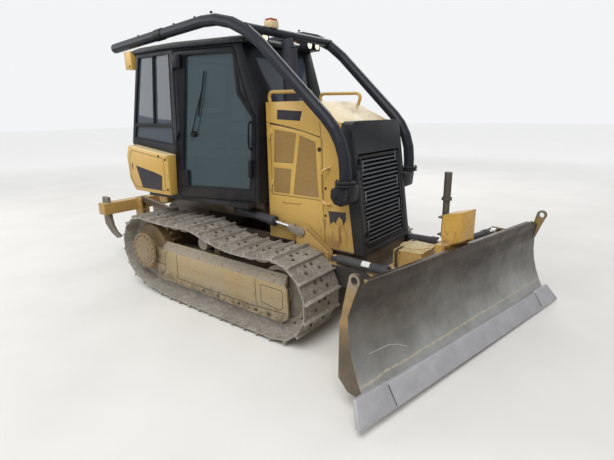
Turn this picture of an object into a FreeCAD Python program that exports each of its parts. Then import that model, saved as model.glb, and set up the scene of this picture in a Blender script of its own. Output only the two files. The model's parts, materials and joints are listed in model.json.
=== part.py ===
import FreeCAD, Part
import os
from math import sin, cos, tan, radians, degrees, pi, sqrt, atan2, hypot, asin, acos

# Crawler bulldozer with a six-way blade, a closed cab, limb risers and a rear ripper.
# Millimetres. X forward, Y to the machine's left, Z up. The origin is on the ground,
# on the machine's centre plane, below the middle of the track frames.
# Pairs are made for the right side (negative Y) and mirrored.

# Undercarriage
TRACK_GAUGE = 1600.0        # between the centre lines of the two tracks
SHOE_WIDTH = 500.0
SHOE_COUNT = 38             # shoes in one track
PLATE_T = 12.0              # shoe plate thickness
GROUSER_H = 33.0            # lug height above the plate
GROUSER_W = 16.0            # lug width at its tip
LINK_H = 85.0               # chain rail below the plate
RAIL_W = 42.0               # width of one chain rail
RAIL_GAP = 92.0             # between the two rails of a chain
SPROCKET_X = -930.0
SPROCKET_Z = 482.0
SPROCKET_SEAT_R = 372.0     # from sprocket centre to the plates' inner faces
IDLER_X = 1015.0
IDLER_SEAT_R = 362.0        # from idler centre to the plates' inner faces
REAR_ROLLER_X = -560.0      # where the chain leaves the ground line
CARRIER_X = -60.0           # carrier roller under the top run
CARRIER_SEAT_Z = 862.0      # plates' inner face over the carrier roller
REAR_SAG = 20.0
FRONT_SAG = 75.0
LEAD_IN_DEG = 11.0          # the sagging run meets the idler this far before its top
ROLLER_COUNT = 6
ROLLER_PITCH = 225.0
ROLLER_R = 84.0
HUB_FACE_INSET = 8.0        # hub face inside the shoes' outer edge
HUB_FLANGE_R = 200.0
HUB_NECK_R = 104.0
AXLE_R = 165.0
FRAME_INSET = 100.0         # cover face inside the shoes' outer edge
FRAME_TOP_Z = 520.0
FRAME_LOW_Z = 225.0
GUARD_LOW_Z = 160.0
FRAME_REAR_X = -818.0
FRAME_FRONT_X = 1110.0
SHOULDER_Y = -900.0         # inner edge of the cover's sloping top
SHOULDER_Z = 608.0

# Hull
HULL_HALF = 380.0           # half width of the main frame
RAIL_T = 50.0
HULL_BELLY_Z = 335.0
HULL_TOP_Z = 900.0
HULL_REAR_X = -1290.0
HULL_FRONT_X = 1560.0
CROSS_X = -60.0             # front cross member to the track frames
CROSS_REAR_X = -650.0       # rear cross member to the track frames
CROSS_SIZE = 120.0

# Engine enclosure
HOOD_HALF = 430.0
HOOD_REAR_X = 462.0
HOOD_TOP_Z = 2055.0
HOOD_BREAK_X = 900.0        # where the top begins to fall
HOOD_FRONT_Z = 1868.0
SIDE_LOW_Z = 750.0
SKIN = 5.0                  # sheet thickness
DOOR_REAR_X = 505.0
DOOR_FRONT_X = 1108.0
DOOR_LOW_Z = 1180.0
DOOR_TOP_REAR_Z = 1866.0
DOOR_CORNER_DROP = 8.0         # room for the rear top corner to swing under the sloping opening
DOOR_TOP_MID_Z = 1798.0
DOOR_TOP_FRONT_Z = 1743.0
PANEL_GAP = 5.0

# Radiator guard
GUARD_HALF = 440.0
GUARD_TOP_Z = 1880.0
GUARD_BASE_Z = 746.0
GUARD_TOP_X = 1412.0        # front face at the top
GUARD_BASE_X = 1574.0       # front face at the bottom
GUARD_DEPTH = 105.0
GUARD_CORNER_R = 90.0
GUARD_RIM = 62.0            # side post width seen from the front
GRILLE_TOP_DROP = 270.0     # plain cowl above the louvres
GRILLE_FOOT = 40.0
GRILLE_TOP_GAP = 17.0       # the grille rises as it swings on its leaning hinge
SLAT_COUNT = 20
SLAT_T = 14.0

# Cab
CAB_FLOOR_Z = 1095.0        # underside of the cab, on the deck
CAB_KNEE_Z = 2062.0
CAB_TOP_Z = 2590.0
CAB_REAR_X = -1185.0        # rear wall, below the shelf over the tank and at the roof
CAB_BACK_X = -1385.0        # rear wall just above the shelf
CAB_SHELF_Z = 1480.0
CAB_BACK_Z = 1640.0
CAB_PILLAR_X = -545.0       # where the sides turn inward, and the door hinge line
CAB_FRONT_LOW_X = 440.0
CAB_FRONT_KNEE_X = 448.0
CAB_FRONT_TOP_X = 270.0
CAB_HALF = 770.0            # half width at the floor, behind the hinge line
CAB_LEAN = 70.0             # each side leans in by this much up to the roof
CAB_TAPER = 0.216           # sides close in by this share of the distance forward
CAB_WALL = 60.0
DOOR_T = 45.0
GLASS_IN = 16.0             # outer face of the glass behind the panel face
GLASS_T = 8.0
ROOF_T = 62.0
ROOF_OVER = 35.0

# Blade gear
CF_PIVOT_X = 180.0          # C-frame trunnions
CF_PIVOT_Z = 430.0
ARM_IN_Y = 452.0            # inner face of a C-frame arm
ARM_T = 70.0
LUG_X = 940.0               # lift cylinder eye on the arm
LUG_Z = 888.0
NOSE_X = 2085.0             # vertical pivot of the blade
NOSE_BACK_X = 1705.0        # rear face of the C-frame's nose
BLADE_FORWARD = 480.0       # cutting edge ahead of the pivot
BLADE_ANGLE = -11.4         # right end back, as parked
BLADE_TILT = 0.9            # right end high, as parked
BLADE_WIDTH = 2790.0        # moldboard
BLADE_HEIGHT = 860.0
BLADE_LEAN = 230.0          # top edge behind the cutting edge
BLADE_DEPTH = 110.0         # hollow of the moldboard
BLADE_SHEET = 14.0
BLADE_LOW_Z = 30.0          # cutting edge above the ground at the middle
END_BIT_W = 142.0           # end bit past the moldboard
EDGE_SEAM_IN = 235.0        # seam between edge and end bit, inside the moldboard's end
EDGE_T = 22.0
EDGE_H = 150.0
MAST_R = 31.0
MAST_TOP_Z = 1465.0
MAST_JOINT_Z = 1242.0       # collar between the mast's two tubes
MAST_X = 14.0               # mast ahead of the blade's vertical pivot
ANGLE_EYE_Y = 540.0         # angle cylinder eyes on the blade's back
ANGLE_BASE_X = 1300.0
ANGLE_BASE_Y = 496.0
ANGLE_Z = 695.0
LIFT_BASE_X = 30.0
LIFT_BASE_Z = 990.0
LIFT_Y = 487.0

# Ripper
RIP_PIVOT_X = -1420.0       # front pins of the links
RIP_PIVOT_Z = 540.0
RIP_REACH = 640.0           # links, front pin to rear pin, level
RIP_RISE = 80.0             # rear pins above front pins, as parked
RIP_SPREAD = 210.0          # upper link above the lower one
RIP_BEAM_HALF = 830.0
RIP_BEAM_SIZE = 150.0
RIP_TIP_Z = 398.0
RIP_SHANK_T = 46.0
RIP_ARM_Y = 300.0
RIP_CYL_Z = 830.0           # base eye of the ripper cylinder
RIP_DOWN = 50.0
RIP_UP = 4.0

# Small clearances
SEAT = 0.3                  # between pieces that seat on each other
RUN = 5.0                   # between pieces that move past each other
BEND_STEP_DEG = 12.0        # straight steps that make up a tube's bend

DECK_TOP_Z = CAB_FLOOR_Z - SEAT
V = FreeCAD.Vector
Y_AXIS = V(0, 1, 0)
Z_AXIS = V(0, 0, 1)
nodes = {}


def box(x0, x1, y0, y1, z0, z1):
    return Part.makeBox(x1 - x0, y1 - y0, z1 - z0, V(x0, y0, z0))


def prism(points, direction):
    wire = Part.makePolygon(points + [points[0]])
    return Part.Face(wire).extrude(direction)


def slab_xz(points, y0, y1):
    """An outline in X and Z, made solid from y0 to y1."""
    return prism([V(x, y0, z) for x, z in points], V(0, y1 - y0, 0))


def slab_xy(points, z0, z1):
    return prism([V(x, y, z0) for x, y in points], V(0, 0, z1 - z0))


def slab_yz(points, x0, x1):
    return prism([V(x0, y, z) for y, z in points], V(x1 - x0, 0, 0))


def bar(a, b, r):
    """A round bar from point a to point b."""
    a, b = V(*a), V(*b)
    return Part.makeCylinder(r, (b - a).Length, a, b - a)


def pin_y(x, z, r, y0, y1):
    return Part.makeCylinder(r, y1 - y0, V(x, y0, z), Y_AXIS)


def fuse(shapes):
    if len(shapes) == 1:
        return shapes[0]
    return shapes[0].multiFuse(shapes[1:]).removeSplitter()


def mirrored(shape):
    return shape.mirror(V(0, 0, 0), Y_AXIS)


def both(shape):
    return fuse([shape, mirrored(shape)])


def pair(shape):
    """Right and left copies that stay separate solids."""
    return Part.makeCompound([shape, mirrored(shape)])


def bent_line(points, bends):
    """The points of a path, with each corner rounded by short straight steps."""
    pts = [V(*p) for p in points]
    line = [pts[0]]
    for i in range(1, len(pts) - 1):
        before = (pts[i] - pts[i - 1]).normalize()
        after = (pts[i + 1] - pts[i]).normalize()
        turn = acos(max(-1.0, min(1.0, before.dot(after))))
        reach = bends[i - 1] * tan(turn / 2)
        to_centre = (after - before).normalize()
        centre = pts[i] + to_centre * (bends[i - 1] / cos(turn / 2))
        steps = max(2, int(degrees(turn) / BEND_STEP_DEG + 0.5))
        for k in range(steps + 1):
            a = turn * (k / steps - 0.5)
            mid = (before + after).normalize()
            line.append(centre - to_centre * (bends[i - 1] * cos(a)) + mid * (bends[i - 1] * sin(a)))
    return line + [pts[-1]]


def pipe(points, r, bends, sides=12):
    """A tube of flat-sided lengths that meet at mitres, through the points."""
    line = bent_line(points, bends)
    along = (line[1] - line[0]).normalize()
    side = along.cross(Y_AXIS if abs(along.y) < 0.9 else Z_AXIS).normalize()
    up = along.cross(side)
    ring = []
    for k in range(sides):
        a = 2 * pi * (k + 0.5) / sides
        ring.append(line[0] + side * (r * cos(a)) + up * (r * sin(a)))
    rings = [ring]
    for i in range(1, len(line)):
        along = (line[i] - line[i - 1]).normalize()
        face = along if i == len(line) - 1 else along + (line[i + 1] - line[i]).normalize()
        ring = [p + along * ((line[i] - p).dot(face) / along.dot(face)) for p in rings[-1]]
        rings.append(ring)
    return stack(rings)


def stack(rings):
    """A closed solid through like rings of points, with flat faces between them."""
    faces = [Part.Face(Part.makePolygon(ring + [ring[0]])) for ring in (rings[0], rings[-1])]
    for low, high in zip(rings, rings[1:]):
        for i in range(len(low)):
            k = (i + 1) % len(low)
            faces.append(Part.Face(Part.makePolygon([low[i], low[k], high[k], high[i], low[i]])))
    solid = Part.makeSolid(Part.makeShell(faces))
    if solid.Volume < 0:
        solid.reverse()
    return solid


def export_nodes():
    os.makedirs("parts", exist_ok=True)
    for name, shape in nodes.items():
        shape.exportStep("parts/" + name + ".step")


# Track
OUTER_Y = -(TRACK_GAUGE + SHOE_WIDTH) / 2
INNER_Y = -(TRACK_GAUGE - SHOE_WIDTH) / 2
TRACK_Y = -TRACK_GAUGE / 2
IDLER_Z = GROUSER_H + PLATE_T + IDLER_SEAT_R
GROUND_SEAT_Z = GROUSER_H + PLATE_T
RAIL_Z = GROUND_SEAT_Z + LINK_H


def arc_points(x, z, r, a0, a1, n):
    out = []
    for i in range(n + 1):
        a = a0 + (a1 - a0) * i / n
        out.append((x + r * cos(a), z + r * sin(a)))
    return out


def seat_line():
    """The closed line of the plates' inner faces, from the idler's foot to the rear and round."""
    dx = REAR_ROLLER_X - SPROCKET_X
    dz = GROUND_SEAT_Z - SPROCKET_Z
    span = hypot(dx, dz)
    leave = atan2(dz, dx) - acos(SPROCKET_SEAT_R / span)
    line = [(IDLER_X, GROUND_SEAT_Z), (REAR_ROLLER_X, GROUND_SEAT_Z)]
    line += arc_points(SPROCKET_X, SPROCKET_Z, SPROCKET_SEAT_R, leave, -1.5 * pi, 40)
    top = SPROCKET_Z + SPROCKET_SEAT_R
    lead = radians(LEAD_IN_DEG)
    end = (IDLER_X - IDLER_SEAT_R * sin(lead), IDLER_Z + IDLER_SEAT_R * cos(lead))
    spans = (
        # x, z at the start, x, z at the end, sag
        (SPROCKET_X, top, CARRIER_X, CARRIER_SEAT_Z, REAR_SAG),
        (CARRIER_X, CARRIER_SEAT_Z, end[0], end[1], FRONT_SAG),
    )
    for xa, za, xb, zb, sag in spans:
        for i in range(1, 21):
            t = i / 20.0
            line.append((xa + (xb - xa) * t, za + (zb - za) * t - 4 * sag * t * (1 - t)))
    line += arc_points(IDLER_X, IDLER_Z, IDLER_SEAT_R, pi / 2 + lead, -pi / 2, 40)[1:]
    return line


def even_joints(line, count):
    """Chain joints spaced evenly along the line."""
    lengths = [0.0]
    for a, b in zip(line, line[1:]):
        lengths.append(lengths[-1] + hypot(b[0] - a[0], b[1] - a[1]))
    joints = []
    k = 0
    for i in range(count):
        s = lengths[-1] * i / count
        while lengths[k + 1] < s:
            k += 1
        t = (s - lengths[k]) / (lengths[k + 1] - lengths[k])
        a, b = line[k], line[k + 1]
        joints.append((a[0] + (b[0] - a[0]) * t, a[1] + (b[1] - a[1]) * t))
    return joints


JOINTS = even_joints(seat_line(), SHOE_COUNT)


def link_frames():
    """For each shoe: its first joint, its length, and its unit vectors along and outward."""
    out = []
    for i, a in enumerate(JOINTS):
        b = JOINTS[(i + 1) % SHOE_COUNT]
        size = hypot(b[0] - a[0], b[1] - a[1])
        along = ((b[0] - a[0]) / size, (b[1] - a[1]) / size)
        outward = (-along[1], along[0])
        out.append((a, size, along, outward))
    return out


FRAMES = link_frames()


def mitre(i, height):
    """The point above joint i where the two neighbouring plates meet at this height."""
    out0 = FRAMES[i - 1][3]
    out1 = FRAMES[i][3]
    mx, mz = out0[0] + out1[0], out0[1] + out1[1]
    scale = height * 2 / (mx * mx + mz * mz)
    return (JOINTS[i][0] + mx * scale, JOINTS[i][1] + mz * scale)


def shoe_point(i, s, height):
    a, size, along, outward = FRAMES[i]
    return (a[0] + along[0] * s + outward[0] * height, a[1] + along[1] * s + outward[1] * height)


def chain_min(x, z, height):
    """Nearest distance from a wheel's centre to the chain at this height over the seat line."""
    best = 1e9
    for i in range(SHOE_COUNT):
        px, pz = shoe_point(i, FRAMES[i][1] / 2, height)
        best = min(best, hypot(px - x, pz - z))
    return best


def make_track():
    outer = []
    inner = []
    rail = []
    root = GROUSER_W * 0.9
    for i in range(SHOE_COUNT):
        size = FRAMES[i][1]
        lug = size * 0.2
        outer.append(mitre(i, PLATE_T))
        outer.append(shoe_point(i, lug - root, PLATE_T))
        outer.append(shoe_point(i, lug - GROUSER_W / 2, PLATE_T + GROUSER_H))
        outer.append(shoe_point(i, lug + GROUSER_W / 2, PLATE_T + GROUSER_H))
        outer.append(shoe_point(i, lug + root, PLATE_T))
        inner.append(mitre(i, 0))
        rail.append(mitre(i, -LINK_H * 0.8))
        rail.append(shoe_point(i, size * 0.3, -LINK_H))
        rail.append(shoe_point(i, size * 0.7, -LINK_H))
    belt = slab_xz(outer, OUTER_Y, INNER_Y).cut(slab_xz(inner, OUTER_Y - 10, INNER_Y + 10))
    half = [mitre(i, PLATE_T / 2) for i in range(SHOE_COUNT)]
    rails = []
    for side in (-1, 1):
        y0 = TRACK_Y + side * (RAIL_GAP + RAIL_W) / 2 - RAIL_W / 2
        ring = slab_xz(half, y0, y0 + RAIL_W).cut(slab_xz(rail, y0 - 10, y0 + RAIL_W + 10))
        rails.append(ring)
    return fuse([belt] + rails)


def make_sprocket():
    tip = chain_min(SPROCKET_X, SPROCKET_Z, 0) - 12
    rim = chain_min(SPROCKET_X, SPROCKET_Z, -LINK_H) - SEAT
    teeth = 25
    outline = []
    for i in range(teeth):
        for part, r in ((0.0, rim - 8), (0.3, rim - 8), (0.55, tip), (0.75, tip)):
            a = 2 * pi * (i + part) / teeth
            outline.append((SPROCKET_X + r * cos(a), SPROCKET_Z + r * sin(a)))
    ring = slab_xz(outline, TRACK_Y - RAIL_GAP / 2 + 14, TRACK_Y + RAIL_GAP / 2 - 14)
    carrier = pin_y(SPROCKET_X, SPROCKET_Z, rim, TRACK_Y - 110, TRACK_Y + 110)
    drum = pin_y(SPROCKET_X, SPROCKET_Z, HUB_NECK_R, OUTER_Y + HUB_FACE_INSET + 30, TRACK_Y - 100)
    flange = pin_y(SPROCKET_X, SPROCKET_Z, HUB_FLANGE_R,
                   OUTER_Y + HUB_FACE_INSET + 12, OUTER_Y + HUB_FACE_INSET + 36)
    cap = pin_y(SPROCKET_X, SPROCKET_Z, HUB_FLANGE_R * 0.55,
                OUTER_Y + HUB_FACE_INSET, OUTER_Y + HUB_FACE_INSET + 14)
    axle = pin_y(SPROCKET_X, SPROCKET_Z, AXLE_R, TRACK_Y + 100, -HULL_HALF - SEAT)
    return fuse([ring, carrier, drum, flange, cap, axle])


def make_idler():
    r = chain_min(IDLER_X, IDLER_Z, -LINK_H) - SEAT
    half = RAIL_GAP / 2 + RAIL_W
    rim = pin_y(IDLER_X, IDLER_Z, r, TRACK_Y - half, TRACK_Y + half)
    for side in (-1, 1):
        face = TRACK_Y + side * half
        dish = Part.makeCylinder(r - 40, 30, V(IDLER_X, face, IDLER_Z), V(0, -side, 0))
        rim = rim.cut(dish)
    shaft = pin_y(IDLER_X, IDLER_Z, 55, TRACK_Y - 128, TRACK_Y + 128)
    hub = pin_y(IDLER_X, IDLER_Z, 95, TRACK_Y - half + 2, TRACK_Y + half - 2)
    return fuse([rim, hub, shaft])


def roller_places():
    first = REAR_ROLLER_X + 110
    return [first + i * ROLLER_PITCH for i in range(ROLLER_COUNT)]


def make_rollers():
    """Bottom rollers and the carrier roller, each a spool with its shaft in the frame."""
    half = RAIL_GAP / 2 + RAIL_W
    z = RAIL_Z + SEAT + ROLLER_R
    out = []
    for x in roller_places():
        spool = pin_y(x, z, ROLLER_R, TRACK_Y - half, TRACK_Y + half)
        shaft = pin_y(x, z, 30, TRACK_Y - 128, TRACK_Y + 128)
        out.append(fuse([spool, shaft]))
    seat = CARRIER_SEAT_Z - LINK_H - SEAT - 27
    r = 68.0
    out.append(fuse([pin_y(CARRIER_X, seat - r, r, TRACK_Y - half, TRACK_Y + half),
                     pin_y(CARRIER_X, seat - r, 30, TRACK_Y - half, TRACK_Y + 150)]))
    return out, seat - r


ROLLERS, CARRIER_AXIS_Z = make_rollers()


def make_track_frame():
    """Roller frame: a box over the rollers with a guard plate each side of them."""
    y0 = OUTER_Y + FRAME_INSET
    y1 = TRACK_Y + 150.0
    top_rail = RAIL_Z + 2 * ROLLER_R + 20
    hull = [(FRAME_REAR_X + 60, top_rail), (FRAME_REAR_X, top_rail + 40),
            (FRAME_REAR_X, FRAME_TOP_Z), (FRAME_FRONT_X - 420, FRAME_TOP_Z),
            (FRAME_FRONT_X - 420, top_rail)]
    body = slab_xz(hull, y0 + 12, y1)
    cover = [(FRAME_REAR_X + 40, GUARD_LOW_Z), (FRAME_REAR_X, FRAME_LOW_Z), (FRAME_REAR_X, FRAME_TOP_Z - 2),
             (FRAME_FRONT_X - 20, FRAME_TOP_Z - 2), (FRAME_FRONT_X, FRAME_TOP_Z - 30),
             (FRAME_FRONT_X + 10, FRAME_LOW_Z), (FRAME_FRONT_X - 60, GUARD_LOW_Z)]
    outer = slab_xz(cover, y0, TRACK_Y - 128 - SEAT)
    inner = slab_xz(cover, TRACK_Y + 128 + SEAT, y1)
    hollow = slab_xz([(FRAME_REAR_X - 5, GUARD_LOW_Z - 5), (FRAME_REAR_X - 5, FRAME_TOP_Z - 130),
                      (FRAME_FRONT_X + 20, FRAME_TOP_Z - 130), (FRAME_FRONT_X + 20, GUARD_LOW_Z - 5)],
                     y0 - 1, y0 + 1)
    rim = chain_min(SPROCKET_X, SPROCKET_Z, -LINK_H)
    axle_hole = fuse([pin_y(SPROCKET_X, SPROCKET_Z, HUB_NECK_R + RUN, y0 - 5, y1 + 5),
                      pin_y(SPROCKET_X, SPROCKET_Z, rim + 2 * RUN, TRACK_Y - 110 - RUN, TRACK_Y + 110 + RUN),
                      pin_y(SPROCKET_X, SPROCKET_Z, SPROCKET_SEAT_R, TRACK_Y - RAIL_GAP / 2, TRACK_Y + RAIL_GAP / 2),
                      pin_y(SPROCKET_X, SPROCKET_Z, AXLE_R + 2 * RUN, TRACK_Y + 110, y1 + 5)])
    post = box(CARRIER_X - 40, CARRIER_X + 40, TRACK_Y + 92, y1, FRAME_TOP_Z - 20, CARRIER_AXIS_Z + 50)
    shaft_hole = pin_y(CARRIER_X, CARRIER_AXIS_Z, 30 + SEAT, TRACK_Y, y1 + 5)
    shoulder = slab_yz([(y0, FRAME_TOP_Z - 3), (SHOULDER_Y, SHOULDER_Z), (SHOULDER_Y, FRAME_TOP_Z - 3)],
                       FRAME_REAR_X + 130, FRAME_FRONT_X - 25)
    frame = fuse([body, outer, inner, post, shoulder]).cut(axle_hole).cut(shaft_hole)
    return frame.cut(hollow)


track = make_track()
frame = make_track_frame()
sprocket = make_sprocket()
idler = make_idler()
for side, turn in (("right", lambda s: s), ("left", mirrored)):
    nodes["track_" + side] = turn(track)
    nodes["track_frame_" + side] = turn(frame)
    nodes["sprocket_" + side] = turn(sprocket)
    nodes["rollers_" + side] = turn(Part.makeCompound([idler] + ROLLERS))


# Hull
def make_hull():
    """Main frame: rear case, two rails, belly plate, cross members and the deck under the cab."""
    case = slab_xz([(HULL_REAR_X, 440), (HULL_REAR_X, HULL_TOP_Z), (-560, HULL_TOP_Z),
                    (-560, HULL_BELLY_Z), (HULL_REAR_X + 120, HULL_BELLY_Z)], -HULL_HALF, HULL_HALF)
    rails = both(box(-570, HULL_FRONT_X, -HULL_HALF, -HULL_HALF + RAIL_T, 480, GUARD_BASE_Z - SEAT))
    ledge = both(box(HOOD_REAR_X, GUARD_BASE_X - GUARD_DEPTH - 10, -HOOD_HALF, -HULL_HALF + 10,
                     SIDE_LOW_Z - 14, SIDE_LOW_Z))
    belly = box(-570, HULL_FRONT_X, -HULL_HALF, HULL_HALF, HULL_BELLY_Z + 110, HULL_BELLY_Z + 150)
    nose = box(HULL_FRONT_X - 60, HULL_FRONT_X, -HULL_HALF, HULL_HALF, 480, GUARD_BASE_Z - SEAT)
    half = CROSS_SIZE / 2
    frame_y = -(TRACK_Y + 150.0)
    cross = [box(x - half, x + half, -frame_y + SEAT, frame_y - SEAT, HULL_BELLY_Z + 30,
                 HULL_BELLY_Z + 30 + CROSS_SIZE) for x in (CROSS_X, CROSS_REAR_X)]
    deck = slab_xz([(CAB_REAR_X, HULL_TOP_Z - 5), (CAB_REAR_X, DECK_TOP_Z), (395, DECK_TOP_Z),
                    (395, HULL_TOP_Z - 5)], -430, 430)
    trunnion = pin_y(CF_PIVOT_X, CF_PIVOT_Z, 45, -(ARM_IN_Y + ARM_T), -HULL_HALF)
    plate = slab_xz([(CF_PIVOT_X - 110, HULL_BELLY_Z + 20), (CF_PIVOT_X - 110, 560), (CF_PIVOT_X + 110, 560),
                     (CF_PIVOT_X + 90, HULL_BELLY_Z + 20)], -HULL_HALF - 50, -HULL_HALF + 10)
    lug_low = DECK_TOP_Z - 140
    ears = []
    for y0 in (-LIFT_Y - 46, -LIFT_Y + 30):
        ears.append(slab_xz([(LIFT_BASE_X - 60, lug_low), (LIFT_BASE_X - 60, LIFT_BASE_Z + 30),
                             (LIFT_BASE_X - 20, LIFT_BASE_Z + 52), (LIFT_BASE_X + 22, LIFT_BASE_Z + 42),
                             (LIFT_BASE_X + 32, LIFT_BASE_Z - 30), (LIFT_BASE_X + 10, lug_low)], y0, y0 + 18))
    web = box(LIFT_BASE_X - 110, LIFT_BASE_X - 58, -LIFT_Y - 46, -420, lug_low, LIFT_BASE_Z + 30)
    lift_pin = pin_y(LIFT_BASE_X, LIFT_BASE_Z, 22, -LIFT_Y - 50, -LIFT_Y + 50)
    gear = both(fuse([trunnion, plate, lift_pin, web] + ears))
    wing = []
    for y in (-RIP_ARM_Y, RIP_ARM_Y):
        for y0 in (y - 62, y + 32):
            for z in (RIP_PIVOT_Z, RIP_PIVOT_Z + RIP_SPREAD):
                wing.append(slab_xz([(HULL_REAR_X + 120, z - 70), (HULL_REAR_X + 5, z - 70), (RIP_PIVOT_X - 25, z - 38),
                                     (RIP_PIVOT_X - 45, z), (RIP_PIVOT_X - 25, z + 38), (HULL_REAR_X + 5, z + 70)],
                                    y0, y0 + 30))
        for z in (RIP_PIVOT_Z, RIP_PIVOT_Z + RIP_SPREAD):
            wing.append(pin_y(RIP_PIVOT_X, z, 24, y - 64, y + 64))
    for y0 in (-50, 32):
        wing.append(slab_xz([(HULL_REAR_X + 5, RIP_CYL_Z - 60), (RIP_PIVOT_X - 25, RIP_CYL_Z - 35),
                             (RIP_PIVOT_X - 40, RIP_CYL_Z), (RIP_PIVOT_X - 25, RIP_CYL_Z + 35),
                             (HULL_REAR_X + 5, RIP_CYL_Z + 60)], y0, y0 + 18))
    wing.append(pin_y(RIP_PIVOT_X, RIP_CYL_Z, 22, -52, 52))
    wing = fuse(wing)
    return fuse([case, rails, ledge, belly, nose, deck, gear, wing] + cross)


nodes["main_frame"] = make_hull()
nodes["engine_block"] = box(520, 1180, -260, 260, HULL_BELLY_Z + 150 + SEAT, 1500)


# Engine enclosure
def hood_top(x):
    """Height of the hood over its length."""
    if x <= HOOD_BREAK_X:
        return HOOD_TOP_Z
    end = GUARD_TOP_X - GUARD_DEPTH
    return HOOD_TOP_Z - (HOOD_TOP_Z - HOOD_FRONT_Z) * (x - HOOD_BREAK_X) / (end - HOOD_BREAK_X)


def guard_face(z):
    """Front face of the radiator guard at a height."""
    return GUARD_TOP_X + (GUARD_BASE_X - GUARD_TOP_X) * (GUARD_TOP_Z - z) / (GUARD_TOP_Z - GUARD_BASE_Z)


def hood_outline(inset):
    low = SIDE_LOW_Z + SEAT
    back_low = guard_face(low) - GUARD_DEPTH - SEAT
    back_top = guard_face(HOOD_FRONT_Z) - GUARD_DEPTH - SEAT
    return [(HOOD_REAR_X, low), (HOOD_REAR_X, HOOD_TOP_Z - inset), (HOOD_BREAK_X, HOOD_TOP_Z - inset),
            (back_top, hood_top(back_top) - inset), (back_low, low)]


def make_hood():
    outer = slab_xz(hood_outline(0), -HOOD_HALF, HOOD_HALF)
    inner_pts = hood_outline(SKIN)
    inner_pts[0] = (HOOD_REAR_X - 5, SIDE_LOW_Z - 50)
    inner_pts[1] = (HOOD_REAR_X - 5, HOOD_TOP_Z - SKIN)
    inner_pts[3] = (inner_pts[3][0] + 5, inner_pts[3][1] - 1)
    inner_pts[4] = (inner_pts[4][0] + 5, SIDE_LOW_Z - 50)
    inner = slab_xz(inner_pts, -HOOD_HALF + SKIN, HOOD_HALF - SKIN)
    shell = outer.cut(inner)
    door = slab_xz(door_outline(0), -HOOD_HALF - 5, HOOD_HALF + 5)
    leaves = []
    for z in HINGE_Z:
        leaves.append(box(DOOR_REAR_X - 34, DOOR_REAR_X, -HOOD_HALF - 8, -HOOD_HALF + 2, z, z + 45))
        leaves.append(Part.makeCylinder(8, 45, V(DOOR_REAR_X, -HOOD_HALF - 8, z), Z_AXIS))
    return fuse([shell.cut(door)] + leaves + [mirrored(leaf) for leaf in leaves])


def door_outline(gap, drop=0.0):
    return [(DOOR_REAR_X + gap, DOOR_LOW_Z + gap), (DOOR_REAR_X + gap, DOOR_TOP_REAR_Z - gap - drop),
            (HOOD_BREAK_X, DOOR_TOP_MID_Z - gap), (DOOR_FRONT_X - gap, DOOR_TOP_FRONT_Z - gap),
            (DOOR_FRONT_X - gap, DOOR_LOW_Z + gap)]


HINGE_Z = (1230.0, 1720.0)
MESH_PANELS = (
    # rear x low and high, front x low and high, low z, top z at the rear and at the front
    (540, 562, 783, 829, 1497, 1806, 1774),
    (532, 540, 735, 758, 1205, 1447, 1444),
    (775, 866, 1076, 1045, 1205, 1760, 1702),
)


def make_engine_door():
    panel = slab_xz(door_outline(PANEL_GAP, DOOR_CORNER_DROP), -HOOD_HALF, -HOOD_HALF + 30)
    leaves = []
    for z in HINGE_Z:
        low = z + 45 + SEAT
        leaves.append(box(DOOR_REAR_X, DOOR_REAR_X + 34, -HOOD_HALF - 8, -HOOD_HALF + 2, low, low + 45))
        leaves.append(Part.makeCylinder(8, 45, V(DOOR_REAR_X, -HOOD_HALF - 8, low), Z_AXIS))
    panel = fuse([panel] + leaves)
    for rear_low, rear_high, front_low, front_high, z0, z1, z2 in MESH_PANELS:
        outline = [(rear_low, z0), (rear_high, z1), (front_high, z2), (front_low, z0)]
        panel = panel.cut(slab_xz(outline, -HOOD_HALF - 5, -HOOD_HALF + 4))
    return panel


nodes["hood"] = make_hood()
engine_door = make_engine_door()
nodes["engine_door_right"] = engine_door
nodes["engine_door_left"] = mirrored(engine_door)


def guard_plan(inset_side, inset_top, foot, depth0, depth1):
    """A slab that follows the guard's sloped face, from depth0 to depth1 behind it."""
    y = GUARD_HALF - inset_side
    top = GUARD_TOP_Z - inset_top
    z0 = GUARD_BASE_Z + foot
    solid = slab_xz([(guard_face(z0) - depth0, z0), (guard_face(top) - depth0, top),
                     (guard_face(top) - depth1, top), (guard_face(z0) - depth1, z0)], -y, y)
    return solid


GRILLE_HINGE_Y = PANEL_GAP / 2 - (GUARD_HALF - GUARD_RIM)
GRILLE_HINGE_Z = (850.0, 1480.0)
HINGE_R = 9.0
HINGE_OFF = HINGE_R + 1     # hinge axis off the surface it stands on
HINGE_H = 45.0
HINGE_REACH = 34.0          # leaf past the pin


def grille_knuckle(z0, z1, side):
    """A hinge knuckle on the guard's sloped face, with its leaf to one side."""
    x0, x1 = guard_face(z0) + HINGE_OFF, guard_face(z1) + HINGE_OFF
    knuckle = bar((x0, GRILLE_HINGE_Y, z0), (x1, GRILLE_HINGE_Y, z1), HINGE_R)
    y0, y1 = sorted((GRILLE_HINGE_Y, GRILLE_HINGE_Y + side * HINGE_REACH))
    z0, z1 = z0 + 4, z1 - 4
    leaf = slab_xz([(guard_face(z0) - 8, z0), (guard_face(z0) + 12, z0), (guard_face(z1) + 12, z1),
                    (guard_face(z1) - 8, z1)], y0, y1)
    return fuse([knuckle, leaf])


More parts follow.
